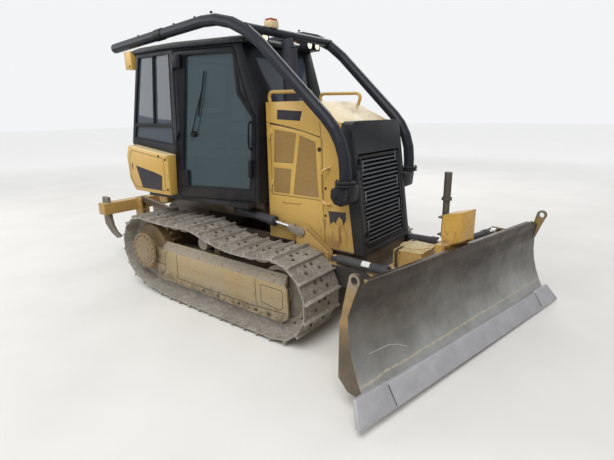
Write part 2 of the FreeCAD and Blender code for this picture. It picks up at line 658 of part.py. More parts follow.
def make_guard():
    body = guard_plan(0, 0, 0, 0, GUARD_DEPTH)
    edges = [e for e in body.Edges if abs(e.CenterOfMass.z - GUARD_TOP_Z) < 1
             and abs(abs(e.CenterOfMass.y) - GUARD_HALF) < 1]
    body = body.makeFillet(GUARD_CORNER_R, edges)
    hole = guard_plan(GUARD_RIM, GRILLE_TOP_DROP, GRILLE_FOOT, -5, GUARD_DEPTH + 5)
    knuckles = [grille_knuckle(z, z + HINGE_H, -1) for z in GRILLE_HINGE_Z]
    return fuse([body.cut(hole)] + knuckles)


def make_grille():
    """Hinged grille: a frame with louvre slats and two upright ribs."""
    frame = guard_plan(GUARD_RIM + PANEL_GAP, GRILLE_TOP_DROP + GRILLE_TOP_GAP, GRILLE_FOOT + PANEL_GAP, 4, 60)
    opening = guard_plan(GUARD_RIM + 40, GRILLE_TOP_DROP + 42, GRILLE_FOOT + 35, -5, 70)
    frame = frame.cut(opening)
    y = GUARD_HALF - GUARD_RIM - 38
    z0 = GUARD_BASE_Z + GRILLE_FOOT + 35
    z1 = GUARD_TOP_Z - GRILLE_TOP_DROP - 42
    pitch = (z1 - z0) / SLAT_COUNT
    slats = []
    for i in range(SLAT_COUNT):
        z = z0 + (i + 0.5) * pitch
        x = guard_face(z)
        slats.append(slab_xz([(x - 10, z - SLAT_T), (x - 10, z), (x - 44, z + SLAT_T), (x - 44, z)], -y, y))
    for rib_y in (-y * 0.62, y * 0.62):
        rib = guard_plan(0, GRILLE_TOP_DROP + 38, GRILLE_FOOT + 30, 30, 46)
        slats.append(rib.common(box(0, 3000, rib_y - 6, rib_y + 6, 0, 3000)))
    for z in GRILLE_HINGE_Z:
        slats.append(grille_knuckle(z + HINGE_H + SEAT, z + 2 * HINGE_H, 1))
    return fuse([frame] + slats)


nodes["radiator_guard"] = make_guard()
nodes["grille_door"] = make_grille()
nodes["radiator_core"] = guard_plan(GUARD_RIM, GRILLE_TOP_DROP - 30, 0, GUARD_DEPTH + 4, GUARD_DEPTH + 80).common(
    box(1000, 2000, -HULL_HALF + 10, HULL_HALF - 10, GUARD_BASE_Z, 3000))


# Cab
def half_width(x, z, inset):
    lean = CAB_LEAN * (z - CAB_FLOOR_Z) / (CAB_TOP_Z - CAB_FLOOR_Z)
    return CAB_HALF - lean - max(0.0, x - CAB_PILLAR_X) * CAB_TAPER - inset


def rear_wall(z):
    """How far back the cab reaches at a height."""
    if z <= CAB_SHELF_Z:
        return CAB_REAR_X
    if z <= CAB_BACK_Z:
        return CAB_REAR_X + (CAB_BACK_X - CAB_REAR_X) * (z - CAB_SHELF_Z) / (CAB_BACK_Z - CAB_SHELF_Z)
    return CAB_BACK_X + (CAB_REAR_X - CAB_BACK_X) * (z - CAB_BACK_Z) / (CAB_TOP_Z - CAB_BACK_Z)


def front_wall(z):
    """How far forward the cab reaches at a height."""
    if z <= CAB_KNEE_Z:
        return CAB_FRONT_LOW_X + (CAB_FRONT_KNEE_X - CAB_FRONT_LOW_X) * (z - CAB_FLOOR_Z) / (CAB_KNEE_Z - CAB_FLOOR_Z)
    return CAB_FRONT_KNEE_X + (CAB_FRONT_TOP_X - CAB_FRONT_KNEE_X) * (z - CAB_KNEE_Z) / (CAB_TOP_Z - CAB_KNEE_Z)


def cab_section(z, inset, rise):
    """Plan of the cab at a height, inset from the outer face."""
    front = front_wall(z)
    x0 = rear_wall(z) + inset
    x1 = front - inset
    pts = []
    for x in (x0, CAB_PILLAR_X, x1):
        pts.append((x, -half_width(x, z, inset)))
    pts += [(x, -y) for x, y in reversed(pts)]
    return [V(x, y, z + rise) for x, y in pts]


def cab_solid(inset, low_rise=0.0, top_rise=0.0):
    levels = (CAB_FLOOR_Z, CAB_SHELF_Z, CAB_BACK_Z, CAB_KNEE_Z, CAB_TOP_Z)
    rises = (low_rise, 0, 0, 0, top_rise)
    return stack([cab_section(z, inset, rise) for z, rise in zip(levels, rises)])


def cab_skin(inset0, inset1):
    return cab_solid(inset0).cut(cab_solid(inset1, -5, 5))


DOOR_OUT = [(CAB_PILLAR_X + 15, CAB_FLOOR_Z + 8), (CAB_PILLAR_X + 15, CAB_TOP_Z - 25),
            (CAB_FRONT_TOP_X - 95, CAB_TOP_Z - 25), (CAB_FRONT_TOP_X - 55, CAB_TOP_Z - 80),
            (CAB_FRONT_KNEE_X - 195, CAB_KNEE_Z + 90), (CAB_FRONT_KNEE_X - 30, CAB_KNEE_Z - 130),
            (CAB_FRONT_LOW_X - 30, CAB_FLOOR_Z + 8)]


def shrunk(points, d):
    """The outline moved in by d on every side."""
    n = len(points)
    area = sum(points[i][0] * points[(i + 1) % n][1] - points[(i + 1) % n][0] * points[i][1] for i in range(n))
    turn = 1 if area > 0 else -1
    out = []
    for i in range(n):
        p0, p1, p2 = points[i - 1], points[i], points[(i + 1) % n]
        d0 = (p1[0] - p0[0], p1[1] - p0[1])
        d1 = (p2[0] - p1[0], p2[1] - p1[1])
        l0, l1 = hypot(*d0), hypot(*d1)
        n0 = (-d0[1] / l0 * turn, d0[0] / l0 * turn)
        n1 = (-d1[1] / l1 * turn, d1[0] / l1 * turn)
        mx, mz = n0[0] + n1[0], n0[1] + n1[1]
        k = 2 * d / (mx * mx + mz * mz)
        out.append((p1[0] + mx * k, p1[1] + mz * k))
    return out


WINDOW_BAR_Z = 1845.0       # bar between the upper and lower side panes
WINDOW_BAR = 26.0
WINDOW_POST = 16.0          # upright between the two upper side panes


def side_panes():
    """Outlines of the three panes behind the door: two above the bar and one below it."""
    top = CAB_TOP_Z - 38
    bar_low, bar_high = WINDOW_BAR_Z - WINDOW_BAR / 2, WINDOW_BAR_Z + WINDOW_BAR / 2
    back_top, back_bar, back_low = rear_wall(top) + 48, rear_wall(WINDOW_BAR_Z) + 48, rear_wall(1705) + 48
    front = CAB_PILLAR_X - 52
    post_low, post_top = front - 335, front - 280
    half = WINDOW_POST / 2
    return [
        [(back_bar, bar_high), (back_top, top), (post_top - half, top), (post_low - half, bar_high)],
        [(post_low + half, bar_high), (post_top + half, top), (front, top), (front, bar_high)],
        [(back_low, 1705), (back_bar, bar_low), (front, bar_low), (front, 1640)],
    ]


SCREEN = [(-300, CAB_KNEE_Z - 10), (-395, CAB_TOP_Z - 60), (395, CAB_TOP_Z - 60), (300, CAB_KNEE_Z - 10)]
REAR_WINDOW = [(-610, 1705), (-580, CAB_TOP_Z - 60), (580, CAB_TOP_Z - 60), (610, 1705)]
FAR = 2000.0


def side_cut(points):
    return slab_xz(points, -FAR, -300)


def make_cab():
    shell = cab_skin(0, CAB_WALL)
    floor = cab_solid(CAB_WALL - 10).common(box(-FAR, FAR, -FAR, FAR, CAB_FLOOR_Z, CAB_FLOOR_Z + 30))
    frame = fuse([shell, floor])
    windows = [side_cut(outline) for outline in side_panes()]
    cuts = [side_cut(DOOR_OUT)] + windows
    cuts += [mirrored(c) for c in cuts]
    cuts.append(slab_yz(SCREEN, 100, FAR))
    cuts.append(slab_yz(REAR_WINDOW, -FAR, CAB_REAR_X + 200))
    for c in cuts:
        frame = frame.cut(c)
    glass_skin = cab_skin(GLASS_IN, GLASS_IN + GLASS_T)
    panes = [glass_skin.common(window) for window in windows]
    panes += [mirrored(pane) for pane in panes]
    panes.append(glass_skin.common(slab_yz(SCREEN, 100, FAR)))
    panes.append(glass_skin.common(slab_yz(REAR_WINDOW, -FAR, CAB_REAR_X + 200)))
    return frame, Part.makeCompound(panes), glass_skin


cab_frame, cab_glass, glass_skin = make_cab()
nodes["cab_glass"] = cab_glass


def door_cut(points):
    """The outline cut square to the door's own plane, so that its front edge swings clear."""
    start = [V(x + CAB_TAPER * (FAR - half_width(x, z, 0)), -FAR, z) for x, z in points]
    return prism(start, V(-CAB_TAPER * (FAR - 300), FAR - 300, 0))


def cab_knuckle(z0, z1, side):
    """A cab door hinge knuckle on the leaning rear edge, with its leaf to one side."""
    x = DOOR_HINGE_X
    y0 = -half_width(x, z0, -HINGE_OFF)
    y1 = -half_width(x, z1, -HINGE_OFF)
    x0, x1 = sorted((x, x + side * HINGE_REACH))
    return fuse([bar((x, y0, z0), (x, y1, z1), HINGE_R), box(x0, x1, y0 - 4, y1 + 16, z0 + 2, z1 - 2)])


DOOR_EDGE = shrunk(DOOR_OUT, PANEL_GAP + 2)
DOOR_HINGE_X = CAB_PILLAR_X + 18.5
CAB_HINGE_Z = (1690.0, 2380.0)
door_shape = cab_skin(0, DOOR_T).common(side_cut(DOOR_EDGE)).common(door_cut(DOOR_EDGE))
DOOR_GLASS = shrunk(DOOR_OUT, PANEL_GAP + 42)
DOOR_GLASS[0] = (DOOR_GLASS[0][0] + 5, DOOR_GLASS[0][1] + 75)
DOOR_GLASS[1] = (DOOR_GLASS[1][0] + 100, DOOR_GLASS[1][1])
DOOR_GLASS[-1] = (DOOR_GLASS[-1][0] - 15, DOOR_GLASS[-1][1] + 75)
door_shape = door_shape.cut(side_cut(DOOR_GLASS))
door_shape = fuse([door_shape] + [cab_knuckle(z + HINGE_H + SEAT, z + 2 * HINGE_H, 1) for z in CAB_HINGE_Z])
hinge_leaves = [cab_knuckle(z, z + HINGE_H, -1) for z in CAB_HINGE_Z]
nodes["cab_frame"] = fuse([cab_frame] + hinge_leaves + [mirrored(leaf) for leaf in hinge_leaves])
door_glass = glass_skin.common(side_cut(DOOR_GLASS))
nodes["cab_door_right"] = door_shape
nodes["cab_door_glass_right"] = door_glass
nodes["cab_door_left"] = mirrored(door_shape)
nodes["cab_door_glass_left"] = mirrored(door_glass)


def make_roof():
    rings = []
    for z, over in ((CAB_TOP_Z, ROOF_OVER), (CAB_TOP_Z + ROOF_T * 0.55, ROOF_OVER), (CAB_TOP_Z + ROOF_T, -25.0)):
        ring = cab_section(CAB_TOP_Z, -over, 0)
        rings.append([V(p.x, p.y, z + SEAT) for p in ring])
    return stack(rings)


nodes["cab_roof"] = make_roof()

SEAT_X = -560.0
floor_top = CAB_FLOOR_Z + 30
nodes["seat_base"] = fuse([box(SEAT_X - 200, SEAT_X + 200, -220, 220, floor_top + SEAT, floor_top + 250),
                           box(SEAT_X - 240, SEAT_X + 240, -250, 250, floor_top + 250, floor_top + 275)])
seat_low = floor_top + 275 + SEAT
cushion = box(SEAT_X - 240, SEAT_X + 260, -250, 250, seat_low, seat_low + 110)
back = slab_xz([(SEAT_X - 240, seat_low + 110), (SEAT_X - 130, seat_low + 110), (SEAT_X - 230, seat_low + 760),
                (SEAT_X - 320, seat_low + 750)], -240, 240)
nodes["seat_cushion"] = fuse([cushion, back])
arm_z = floor_top + 420
consoles = []
for y0 in (-420, 290):
    consoles.append(fuse([box(SEAT_X - 100, SEAT_X + 420, y0, y0 + 130, floor_top + SEAT, arm_z),
                          box(SEAT_X - 150, SEAT_X + 330, y0, y0 + 130, arm_z - 5, arm_z + 70),
                          bar((SEAT_X + 390, y0 + 65, arm_z - 5), (SEAT_X + 400, y0 + 65, arm_z + 150), 22)]))
dash = slab_xz([(250, floor_top + SEAT), (200, 1560), (240, 1640), (360, 1640), (360, floor_top + SEAT)], -180, 180)
nodes["operator_console"] = Part.makeCompound(consoles + [dash])


# Side boxes and fuel tank
BOX_OUT = 875.0
BOX_REAR_X = -1330.0
BOX_FRONT_X = CAB_PILLAR_X - 12
BOX_LOW_Z = 1120.0
BOX_TOP_Z = 1628.0          # at its rear
BOX_FRONT_TOP_Z = 1548.0


def make_side_box():
    outline = [(BOX_REAR_X + 110, BOX_LOW_Z), (BOX_REAR_X + 20, BOX_LOW_Z + 120), (BOX_REAR_X, BOX_TOP_Z - 130),
               (BOX_REAR_X + 60, BOX_TOP_Z), (BOX_FRONT_X, BOX_FRONT_TOP_Z), (BOX_FRONT_X, BOX_LOW_Z)]
    body = slab_xz(outline, -BOX_OUT, -500)
    return body.cut(cab_solid(-SEAT))


side_box = make_side_box()
nodes["side_box_right"] = side_box
nodes["side_box_left"] = mirrored(side_box)
nodes["fuel_tank"] = slab_xz([(HULL_REAR_X - 60, HULL_TOP_Z + SEAT), (HULL_REAR_X - 120, 1120),
                              (HULL_REAR_X - 120, 1380), (HULL_REAR_X - 40, 1470), (CAB_REAR_X - SEAT, 1470),
                              (CAB_REAR_X - SEAT, HULL_TOP_Z + SEAT)], -495, 495)
FENDER_OUT = 760.0
FENDER_T = 40.0
lift_room_x = LIFT_BASE_X - 115
lift_room_y = -LIFT_Y - 60
fender = slab_xy([(CAB_REAR_X + 60, -430 - SEAT), (CAB_REAR_X + 60, -FENDER_OUT), (395, -FENDER_OUT + 100),
                  (395, lift_room_y), (lift_room_x, lift_room_y), (lift_room_x, -430 - SEAT)],
                 DECK_TOP_Z - FENDER_T, DECK_TOP_Z - SEAT)
nodes["fenders"] = pair(fender)

# Sweeps
SWEEP_R = 52.0
SWEEP_Y = 640.0
SWEEP_FOOT_Y = GUARD_HALF + 150
SWEEP_REAR_X = -1700.0
SWEEP_BEND_X = 311.0        # where the top run and the falling run would meet
SWEEP_FOOT_X = 1467.0
SWEEP_TOP_Z = CAB_TOP_Z + 228
SWEEP_REAR_DROP = 118.0
SWEEP_FOOT_Z = 1366.0
sweep_path = [(SWEEP_REAR_X, -SWEEP_Y, SWEEP_TOP_Z - SWEEP_REAR_DROP), (SWEEP_BEND_X, -SWEEP_Y, SWEEP_TOP_Z),
              (SWEEP_FOOT_X, -SWEEP_FOOT_Y, SWEEP_FOOT_Z + 375), (SWEEP_FOOT_X, -SWEEP_FOOT_Y, SWEEP_FOOT_Z)]
sweep = pipe(sweep_path, SWEEP_R, (1000, 600))
bar_at = (SWEEP_BEND_X + 139, SWEEP_TOP_Z - 138)
cross_bar = bar((bar_at[0], -SWEEP_Y, bar_at[1]), (bar_at[0], SWEEP_Y, bar_at[1]), 38)
nodes["sweeps"] = fuse([sweep, mirrored(sweep), cross_bar])
shoe_top = SWEEP_FOOT_Z - SEAT
shoe = slab_xz([(1395, shoe_top), (1350, shoe_top - 25), (1345, shoe_top - 95), (1385, shoe_top - 150),
                (1450, shoe_top - 165), (1500, shoe_top - 140), (1514, shoe_top)],
               -SWEEP_FOOT_Y - 50, -GUARD_HALF - SEAT)
nodes["sweep_brackets"] = pair(shoe.cut(guard_plan(0, 0, 0, -1, GUARD_DEPTH + 1)))

# Lamps, stack and rails
lamps = []
for y in (-470, -340, 340, 470):
    lamps.append(box(CAB_FRONT_TOP_X + ROOF_OVER + SEAT, CAB_FRONT_TOP_X + ROOF_OVER + 95, y - 52, y + 52,
                     CAB_TOP_Z, CAB_TOP_Z + 100))
roof_back = CAB_REAR_X - ROOF_OVER - SEAT
lamp_y = CAB_LEAN - CAB_HALF
rear_lamp = fuse([box(roof_back - 200, roof_back - 75, lamp_y, lamp_y + 140, CAB_TOP_Z - 140, CAB_TOP_Z + 40),
                  box(roof_back - 80, roof_back, lamp_y + 40, lamp_y + 100, CAB_TOP_Z, CAB_TOP_Z + 30)])
nodes["work_lamps"] = Part.makeCompound(lamps + [rear_lamp, mirrored(rear_lamp)])
STACK_TOP_Z = CAB_TOP_Z + 20
nodes["exhaust_stack"] = fuse([bar((545, -160, HOOD_TOP_Z + SEAT), (545, -160, STACK_TOP_Z - 70), 70),
                               bar((545, -160, STACK_TOP_Z - 80), (515, -160, STACK_TOP_Z), 58)])
RAIL_R = 17.0
rail_y = HOOD_HALF - 25
rail_z = HOOD_TOP_Z + 90
rail = pipe([(505, -rail_y, HOOD_TOP_Z - 15), (475, -rail_y, rail_z), (1010, -rail_y, rail_z - 10),
             (960, -rail_y, hood_top(960) - 15)], RAIL_R, (45, 45), 8)
nodes["hood_rails"] = pair(rail.cut(slab_xz(hood_outline(-SEAT), -HOOD_HALF, HOOD_HALF)))


# Blade gear
LIFT_UP = 17.0
LIFT_DOWN = 13.0
ANGLE_LIMIT = 25.0
TILT_LIMIT = 8.0


def rotated(point, centre, angle):
    """A point in a plane turned about a centre, degrees anticlockwise."""
    a = radians(angle)
    dx, dz = point[0] - centre[0], point[1] - centre[1]
    return (centre[0] + dx * cos(a) - dz * sin(a), centre[1] + dx * sin(a) + dz * cos(a))


def span(a, b):
    return sqrt(sum((p - q) ** 2 for p, q in zip(a, b)))


def make_cylinder(base, eye, axis, barrel_r, rod_r, barrel_len, pin_r, eye_half, closing, gland_up=5.0):
    """Barrel with its base eye, and rod with its own eye and pin, at the rest length."""
    base, eye = V(*base), V(*eye)
    axis = V(*axis)
    line = (eye - base).normalize()
    eye_r = barrel_r * 0.8
    ring = Part.makeCylinder(eye_r, 2 * eye_half, base - axis * eye_half, axis)
    neck = Part.makeCylinder(barrel_r * 0.6, eye_r + 25, base, line)
    tube = Part.makeCylinder(barrel_r, barrel_len - eye_r - 12, base + line * (eye_r + 12), line)
    gland = Part.makeCylinder(barrel_r + gland_up, 62, base + line * (barrel_len - 62), line)
    back = eye_r + 30
    bore = Part.makeCylinder(rod_r + SEAT, barrel_len, base + line * back, line)
    hole = Part.makeCylinder(pin_r + SEAT, 4 * eye_half, base - axis * 2 * eye_half, axis)
    barrel = fuse([ring, neck, tube, gland]).cut(bore).cut(hole)
    start = back + closing + RUN
    length = (eye - base).Length
    stem = Part.makeCylinder(rod_r, length - start, base + line * start, line)
    head = Part.makeCylinder(eye_r * 0.9, 2 * eye_half - 6, eye - axis * (eye_half - 3), axis)
    pin = Part.makeCylinder(pin_r * 0.8, 2 * eye_half + 4, eye - axis * (eye_half + 2), axis)
    return barrel, fuse([stem, head, pin])


# Lift cylinders
lift_base = (LIFT_BASE_X, -LIFT_Y, LIFT_BASE_Z)
lift_eye = (LUG_X, -LIFT_Y, LUG_Z)
raised_eye = rotated((LUG_X, LUG_Z), (CF_PIVOT_X, CF_PIVOT_Z), LIFT_UP)
lift_closing = span(lift_base, lift_eye) - span((LIFT_BASE_X, LIFT_BASE_Z), raised_eye)
barrel, rod = make_cylinder(lift_base, lift_eye, (0, 1, 0), 43, 20, 560, 22, 16, lift_closing, 9.0)
nodes["lift_barrel_right"] = barrel
nodes["lift_rod_right"] = rod
nodes["lift_barrel_left"] = mirrored(barrel)
nodes["lift_rod_left"] = mirrored(rod)

# C-frame
NOSE_LOW_Z = 470.0
NOSE_TOP_Z = 632.0
PIVOT_R = 50.0
RING_R = 92.0
CARRIER_LOW_Z = 402.0
CARRIER_RING_T = 60.0
TOWER_TOP_Z = 1172.0        # at its front
TOWER_BASE_Z = 890.0        # top of the tower's wide base
TOWER_FRONT_X = 228.0
TOWER_BACK_X = 50.0
TOWER_HALF = 102.0
TILT_Z = 550.0              # fore and aft pin on which the blade tilts
YOKE_X = 52.0               # angle cylinder eyes ahead of the pivot
arm_y0, arm_y1 = -(ARM_IN_Y + ARM_T), -ARM_IN_Y


def make_arm():
    arm = slab_xz([(CF_PIVOT_X - 70, CF_PIVOT_Z - 40), (CF_PIVOT_X - 70, CF_PIVOT_Z + 40),
                   (CF_PIVOT_X - 30, CF_PIVOT_Z + 75), (760, 600), (895, 640), (ANGLE_BASE_X - 60, 640),
                   (NOSE_BACK_X + 10, NOSE_TOP_Z), (NOSE_BACK_X + 10, NOSE_LOW_Z),
                   (1000, 430), (500, 385), (CF_PIVOT_X, CF_PIVOT_Z - 75), (CF_PIVOT_X - 40, CF_PIVOT_Z - 65)],
                  arm_y0, arm_y1)
    arm = arm.cut(pin_y(CF_PIVOT_X, CF_PIVOT_Z, 45 + SEAT, arm_y0 - 5, arm_y1 + 5))
    lug = [(870, 630), (LUG_X - 52, LUG_Z + 10), (LUG_X - 20, LUG_Z + 40), (LUG_X + 25, LUG_Z + 38),
           (ANGLE_BASE_X - 52, ANGLE_Z + 40), (ANGLE_BASE_X - 52, 630)]
    plates = [slab_xz(lug, arm_y0, arm_y0 + 10), slab_xz(lug, arm_y1 - 6, arm_y1)]
    web = slab_xz([(LUG_X + 70, 630), (LUG_X + 70, ANGLE_Z + 60), (LUG_X + 85, ANGLE_Z + 60),
                   (LUG_X + 85, 630)], arm_y0, arm_y1)
    stand = Part.makeCylinder(26, ANGLE_Z - 25 - 600, V(ANGLE_BASE_X, -ANGLE_BASE_Y, 600), Z_AXIS)
    post = Part.makeCylinder(18, 75, V(ANGLE_BASE_X, -ANGLE_BASE_Y, ANGLE_Z - 50), Z_AXIS)
    return fuse([arm, web, stand, post] + plates)


def make_c_frame():
    arm = make_arm()
    side = [(NOSE_BACK_X, arm_y0), (NOSE_BACK_X + 100, arm_y0), (NOSE_BACK_X + 190, -250),
            (NOSE_X - 40, -PIVOT_R - 8)]
    plate = slab_xy(side + [(x, -y) for x, y in reversed(side)], NOSE_LOW_Z, NOSE_TOP_Z)
    boss = Part.makeCylinder(PIVOT_R + 22, NOSE_TOP_Z - NOSE_LOW_Z, V(NOSE_X, 0, NOSE_LOW_Z), Z_AXIS)
    front = NOSE_X - RING_R - 15
    housing = slab_xy([(NOSE_BACK_X + 15, -190), (front, -165), (front, 165), (NOSE_BACK_X + 15, 190)],
                      NOSE_TOP_Z - 2, NOSE_TOP_Z + 138)
    cover = Part.makeCylinder(125, 18, V((NOSE_BACK_X + front) / 2, 0, NOSE_TOP_Z + 136), Z_AXIS)
    post = Part.makeCylinder(PIVOT_R, NOSE_TOP_Z + CARRIER_RING_T + RUN - CARRIER_LOW_Z,
                             V(NOSE_X, 0, CARRIER_LOW_Z), Z_AXIS)
    return fuse([arm, mirrored(arm), plate, boss, housing, cover, post])


nodes["c_frame"] = make_c_frame()


# Blade, made about its pivot axis and then turned to where it is parked
def at_carrier(shape):
    out = shape.copy()
    out.rotate(V(0, 0, 0), Z_AXIS, BLADE_ANGLE)
    out.translate(V(NOSE_X, 0, 0))
    return out


def at_blade(shape):
    out = shape.copy()
    out.rotate(V(0, 0, TILT_Z), V(1, 0, 0), -BLADE_TILT)
    return at_carrier(out)


PROFILE_STEPS = 8


def blade_profile(offset):
    """Front curve of the moldboard, foot to top, offset to the rear."""
    foot_x = BLADE_FORWARD - EDGE_T
    top_x = BLADE_FORWARD - BLADE_LEAN
    pts = []
    for i in range(PROFILE_STEPS + 1):
        t = i / PROFILE_STEPS
        x = foot_x + (top_x - foot_x) * t - BLADE_DEPTH * 4 * t * (1 - t)
        pts.append((x, BLADE_LOW_Z + t * BLADE_HEIGHT))
    out = []
    for i, (x, z) in enumerate(pts):
        a = pts[max(i - 1, 0)]
        b = pts[min(i + 1, PROFILE_STEPS)]
        size = hypot(b[0] - a[0], b[1] - a[1])
        out.append((x - (b[1] - a[1]) / size * offset, z + (b[0] - a[0]) / size * offset))
    return out


front_line = blade_profile(0)
back_line = blade_profile(BLADE_SHEET)
BLADE_BACK = min(x for x, z in back_line)
RIB_BACK = BLADE_BACK - 68
half_blade = BLADE_WIDTH / 2
CORNER_DROP = 62.0
CORNER_RUN = 175.0
RIB_Y = (-half_blade + 6, -960, -420, 405, 945, half_blade - 21)


def make_moldboard():
    sheet = slab_xz(front_line + list(reversed(back_line)), -half_blade, half_blade)
    sheet = sheet.common(box(-400, 900, -FAR, FAR, BLADE_LOW_Z + 35, 2000))
    top = BLADE_LOW_Z + BLADE_HEIGHT
    for side in (-1, 1):
        corner = slab_yz([(side * (half_blade - CORNER_RUN), top + 30), (side * (half_blade - CORNER_RUN), top),
                          (side * half_blade, top - CORNER_DROP), (side * (half_blade + 10), top - CORNER_DROP),
                          (side * (half_blade + 10), top + 30)], -400, 800)
        sheet = sheet.cut(corner)
    ribs = []
    inner = blade_profile(BLADE_SHEET - 3)
    for y in RIB_Y:
        outline = inner[1:PROFILE_STEPS] + [(RIB_BACK + 50, inner[-2][1]), (RIB_BACK, 600), (RIB_BACK, 200),
                                            (RIB_BACK + 90, inner[1][1])]
        ribs.append(slab_xz(outline, y, y + 15))
    low, high = 235.0, 400.0
    beam = slab_xz([(RIB_BACK, low), (RIB_BACK, high), (BLADE_BACK + 4, high), (BLADE_BACK + 22, low)],
                   -half_blade + 8, half_blade - 8)
    beam = beam.cut(slab_xz([(RIB_BACK + 12, low + 12), (RIB_BACK + 12, high - 12), (BLADE_BACK - 4, high - 12),
                             (BLADE_BACK + 2, low + 12)], -half_blade + 30, half_blade - 30))
    cap_x, cap_z = back_line[-1]
    cap = slab_xz([(cap_x - 48, cap_z - 40), (cap_x - 48, cap_z - 12), (cap_x + 6, cap_z - 12), (cap_x + 6, cap_z - 40)],
                  -half_blade + CORNER_RUN + 5, half_blade - CORNER_RUN - 5)
    socket = box(RIB_BACK - 20, BLADE_BACK + 30, -140, 140, 400 - 2, 650)
    socket = socket.cut(bar((0, 0, TILT_Z), (BLADE_BACK + 10, 0, TILT_Z), 55 + SEAT))
    lugs = []
    for x in (TILT_X - 42, TILT_X + 28):
        lugs.append(slab_yz([(TILT_EYE_Y - 30, TILT_CYL_Z - 25), (TILT_EYE_Y - 30, TILT_CYL_Z + 20),
                             (TILT_EYE_Y + 60, TILT_CYL_Z + 26), (TILT_EYE_Y + 60, TILT_CYL_Z - 60)], x, x + 14))
    lugs.append(slab_xz([(TILT_X - 42, TILT_CYL_Z - 60), (TILT_X - 42, TILT_CYL_Z + 26),
                         (back_line[-1][0] + 4, TILT_CYL_Z + 26), (back_line[-3][0] + 6, TILT_CYL_Z - 150),
                         (TILT_X + 42, TILT_CYL_Z - 150)], TILT_EYE_Y + 45, TILT_EYE_Y + 60))
    eyes = []
    for side in (-1, 1):
        y = side * EYE_Y
        half = EYE_PLATE_T / 2
        plate = fuse([pin_y(EYE_X, EYE_Z, EYE_R, y - half, y + half),
                      slab_xz([(EYE_X - EYE_R, EYE_Z), (EYE_X + EYE_R, EYE_Z), (EYE_X + 5, EYE_Z - 110),
                               (EYE_X - 40, EYE_Z - 240), (EYE_X - 100, EYE_Z - 240)], y - half, y + half)])
        eyes.append(plate.cut(pin_y(EYE_X, EYE_Z, EYE_BORE_R, y - 20, y + 20)))
    return fuse([sheet, beam, cap, socket] + ribs + lugs + eyes)


EYE_BORE_R = 26.0
EYE_R = 47.0
EYE_PLATE_T = 24.0
EYE_X = BLADE_FORWARD - BLADE_LEAN + 15
EYE_Z = BLADE_LOW_Z + BLADE_HEIGHT + 45
EYE_Y = half_blade - EYE_PLATE_T / 2
TILT_X = 112.0              # tilt cylinder behind the moldboard
TILT_CYL_Z = 860.0
TILT_BASE_Y = 232.0
TILT_EYE_Y = 690.0
moldboard = make_moldboard()


def edge_blank(rise, y0, y1):
    """A strip of edge plate that follows the moldboard's face up to this height."""
    outline = blade_profile(-EDGE_T) + list(reversed(blade_profile(-SEAT)))
    return slab_xz(outline, y0, y1).common(box(-400, 900, y0, y1, BLADE_LOW_Z, BLADE_LOW_Z + rise))


def make_edge():
    seam = half_blade - EDGE_SEAM_IN
    out = [edge_blank(EDGE_H, -seam + 1, seam - 1)]
    for side in (-1, 1):
        y_in = side * seam
        y_low = side * (half_blade + END_BIT_W)
        blank = edge_blank(END_BIT_H, min(y_in, y_low), max(y_in, y_low))
        z = BLADE_LOW_Z
        mask = slab_yz([(y_in, z - 5), (y_low - side * 25, z - 5), (y_low, z + 20), (y_low - side * 65, z + END_BIT_H),
                        (y_in, z + END_BIT_H)], -200, 900)
        out.append(blank.common(mask))
    return Part.makeCompound(out)


END_BIT_H = 160.0
nodes["moldboard"] = at_blade(moldboard)
nodes["cutting_edge"] = at_blade(make_edge())


def make_carrier():
    """Yoke that swings on the nose pin and carries the blade's tilt pin, the tower and the cylinder eyes."""
    low = Part.makeCylinder(RING_R, CARRIER_RING_T, V(0, 0, CARRIER_LOW_Z), Z_AXIS)
    high = Part.makeCylinder(RING_R, CARRIER_RING_T, V(0, 0, NOSE_TOP_Z + RUN), Z_AXIS)
    front = box(PIVOT_R + 36, RIB_BACK - 20 - RUN, -125, 125, CARRIER_LOW_Z, ANGLE_Z + 46)
    pin = bar((PIVOT_R + 40, 0, TILT_Z), (BLADE_BACK - 10, 0, TILT_Z), 55)
    wings = []
    for z in (ANGLE_Z - 46, ANGLE_Z + 32):
        x0, x1, tip = YOKE_X - 25, YOKE_X + 42, ANGLE_EYE_Y + 40
        wings.append(slab_xy([(x0, -tip), (x1, -tip), (RIB_BACK - 25, -120), (RIB_BACK - 25, 120),
                              (x1, tip), (x0, tip), (x0, tip - 90), (60, 160), (60, -160),
                              (x0, 90 - tip)], z, z + 14))
    for side in (-1, 1):
        y = side * (ANGLE_EYE_Y - 170)
        wings.append(box(95, 107, min(y, side * 100), max(y, side * 100), ANGLE_Z - 40, ANGLE_Z + 40))
    base = fuse([low, high, front, pin] + wings)
    bore = Part.makeCylinder(PIVOT_R + SEAT, 900, V(0, 0, CARRIER_LOW_Z - 50), Z_AXIS)
    return base.cut(bore)


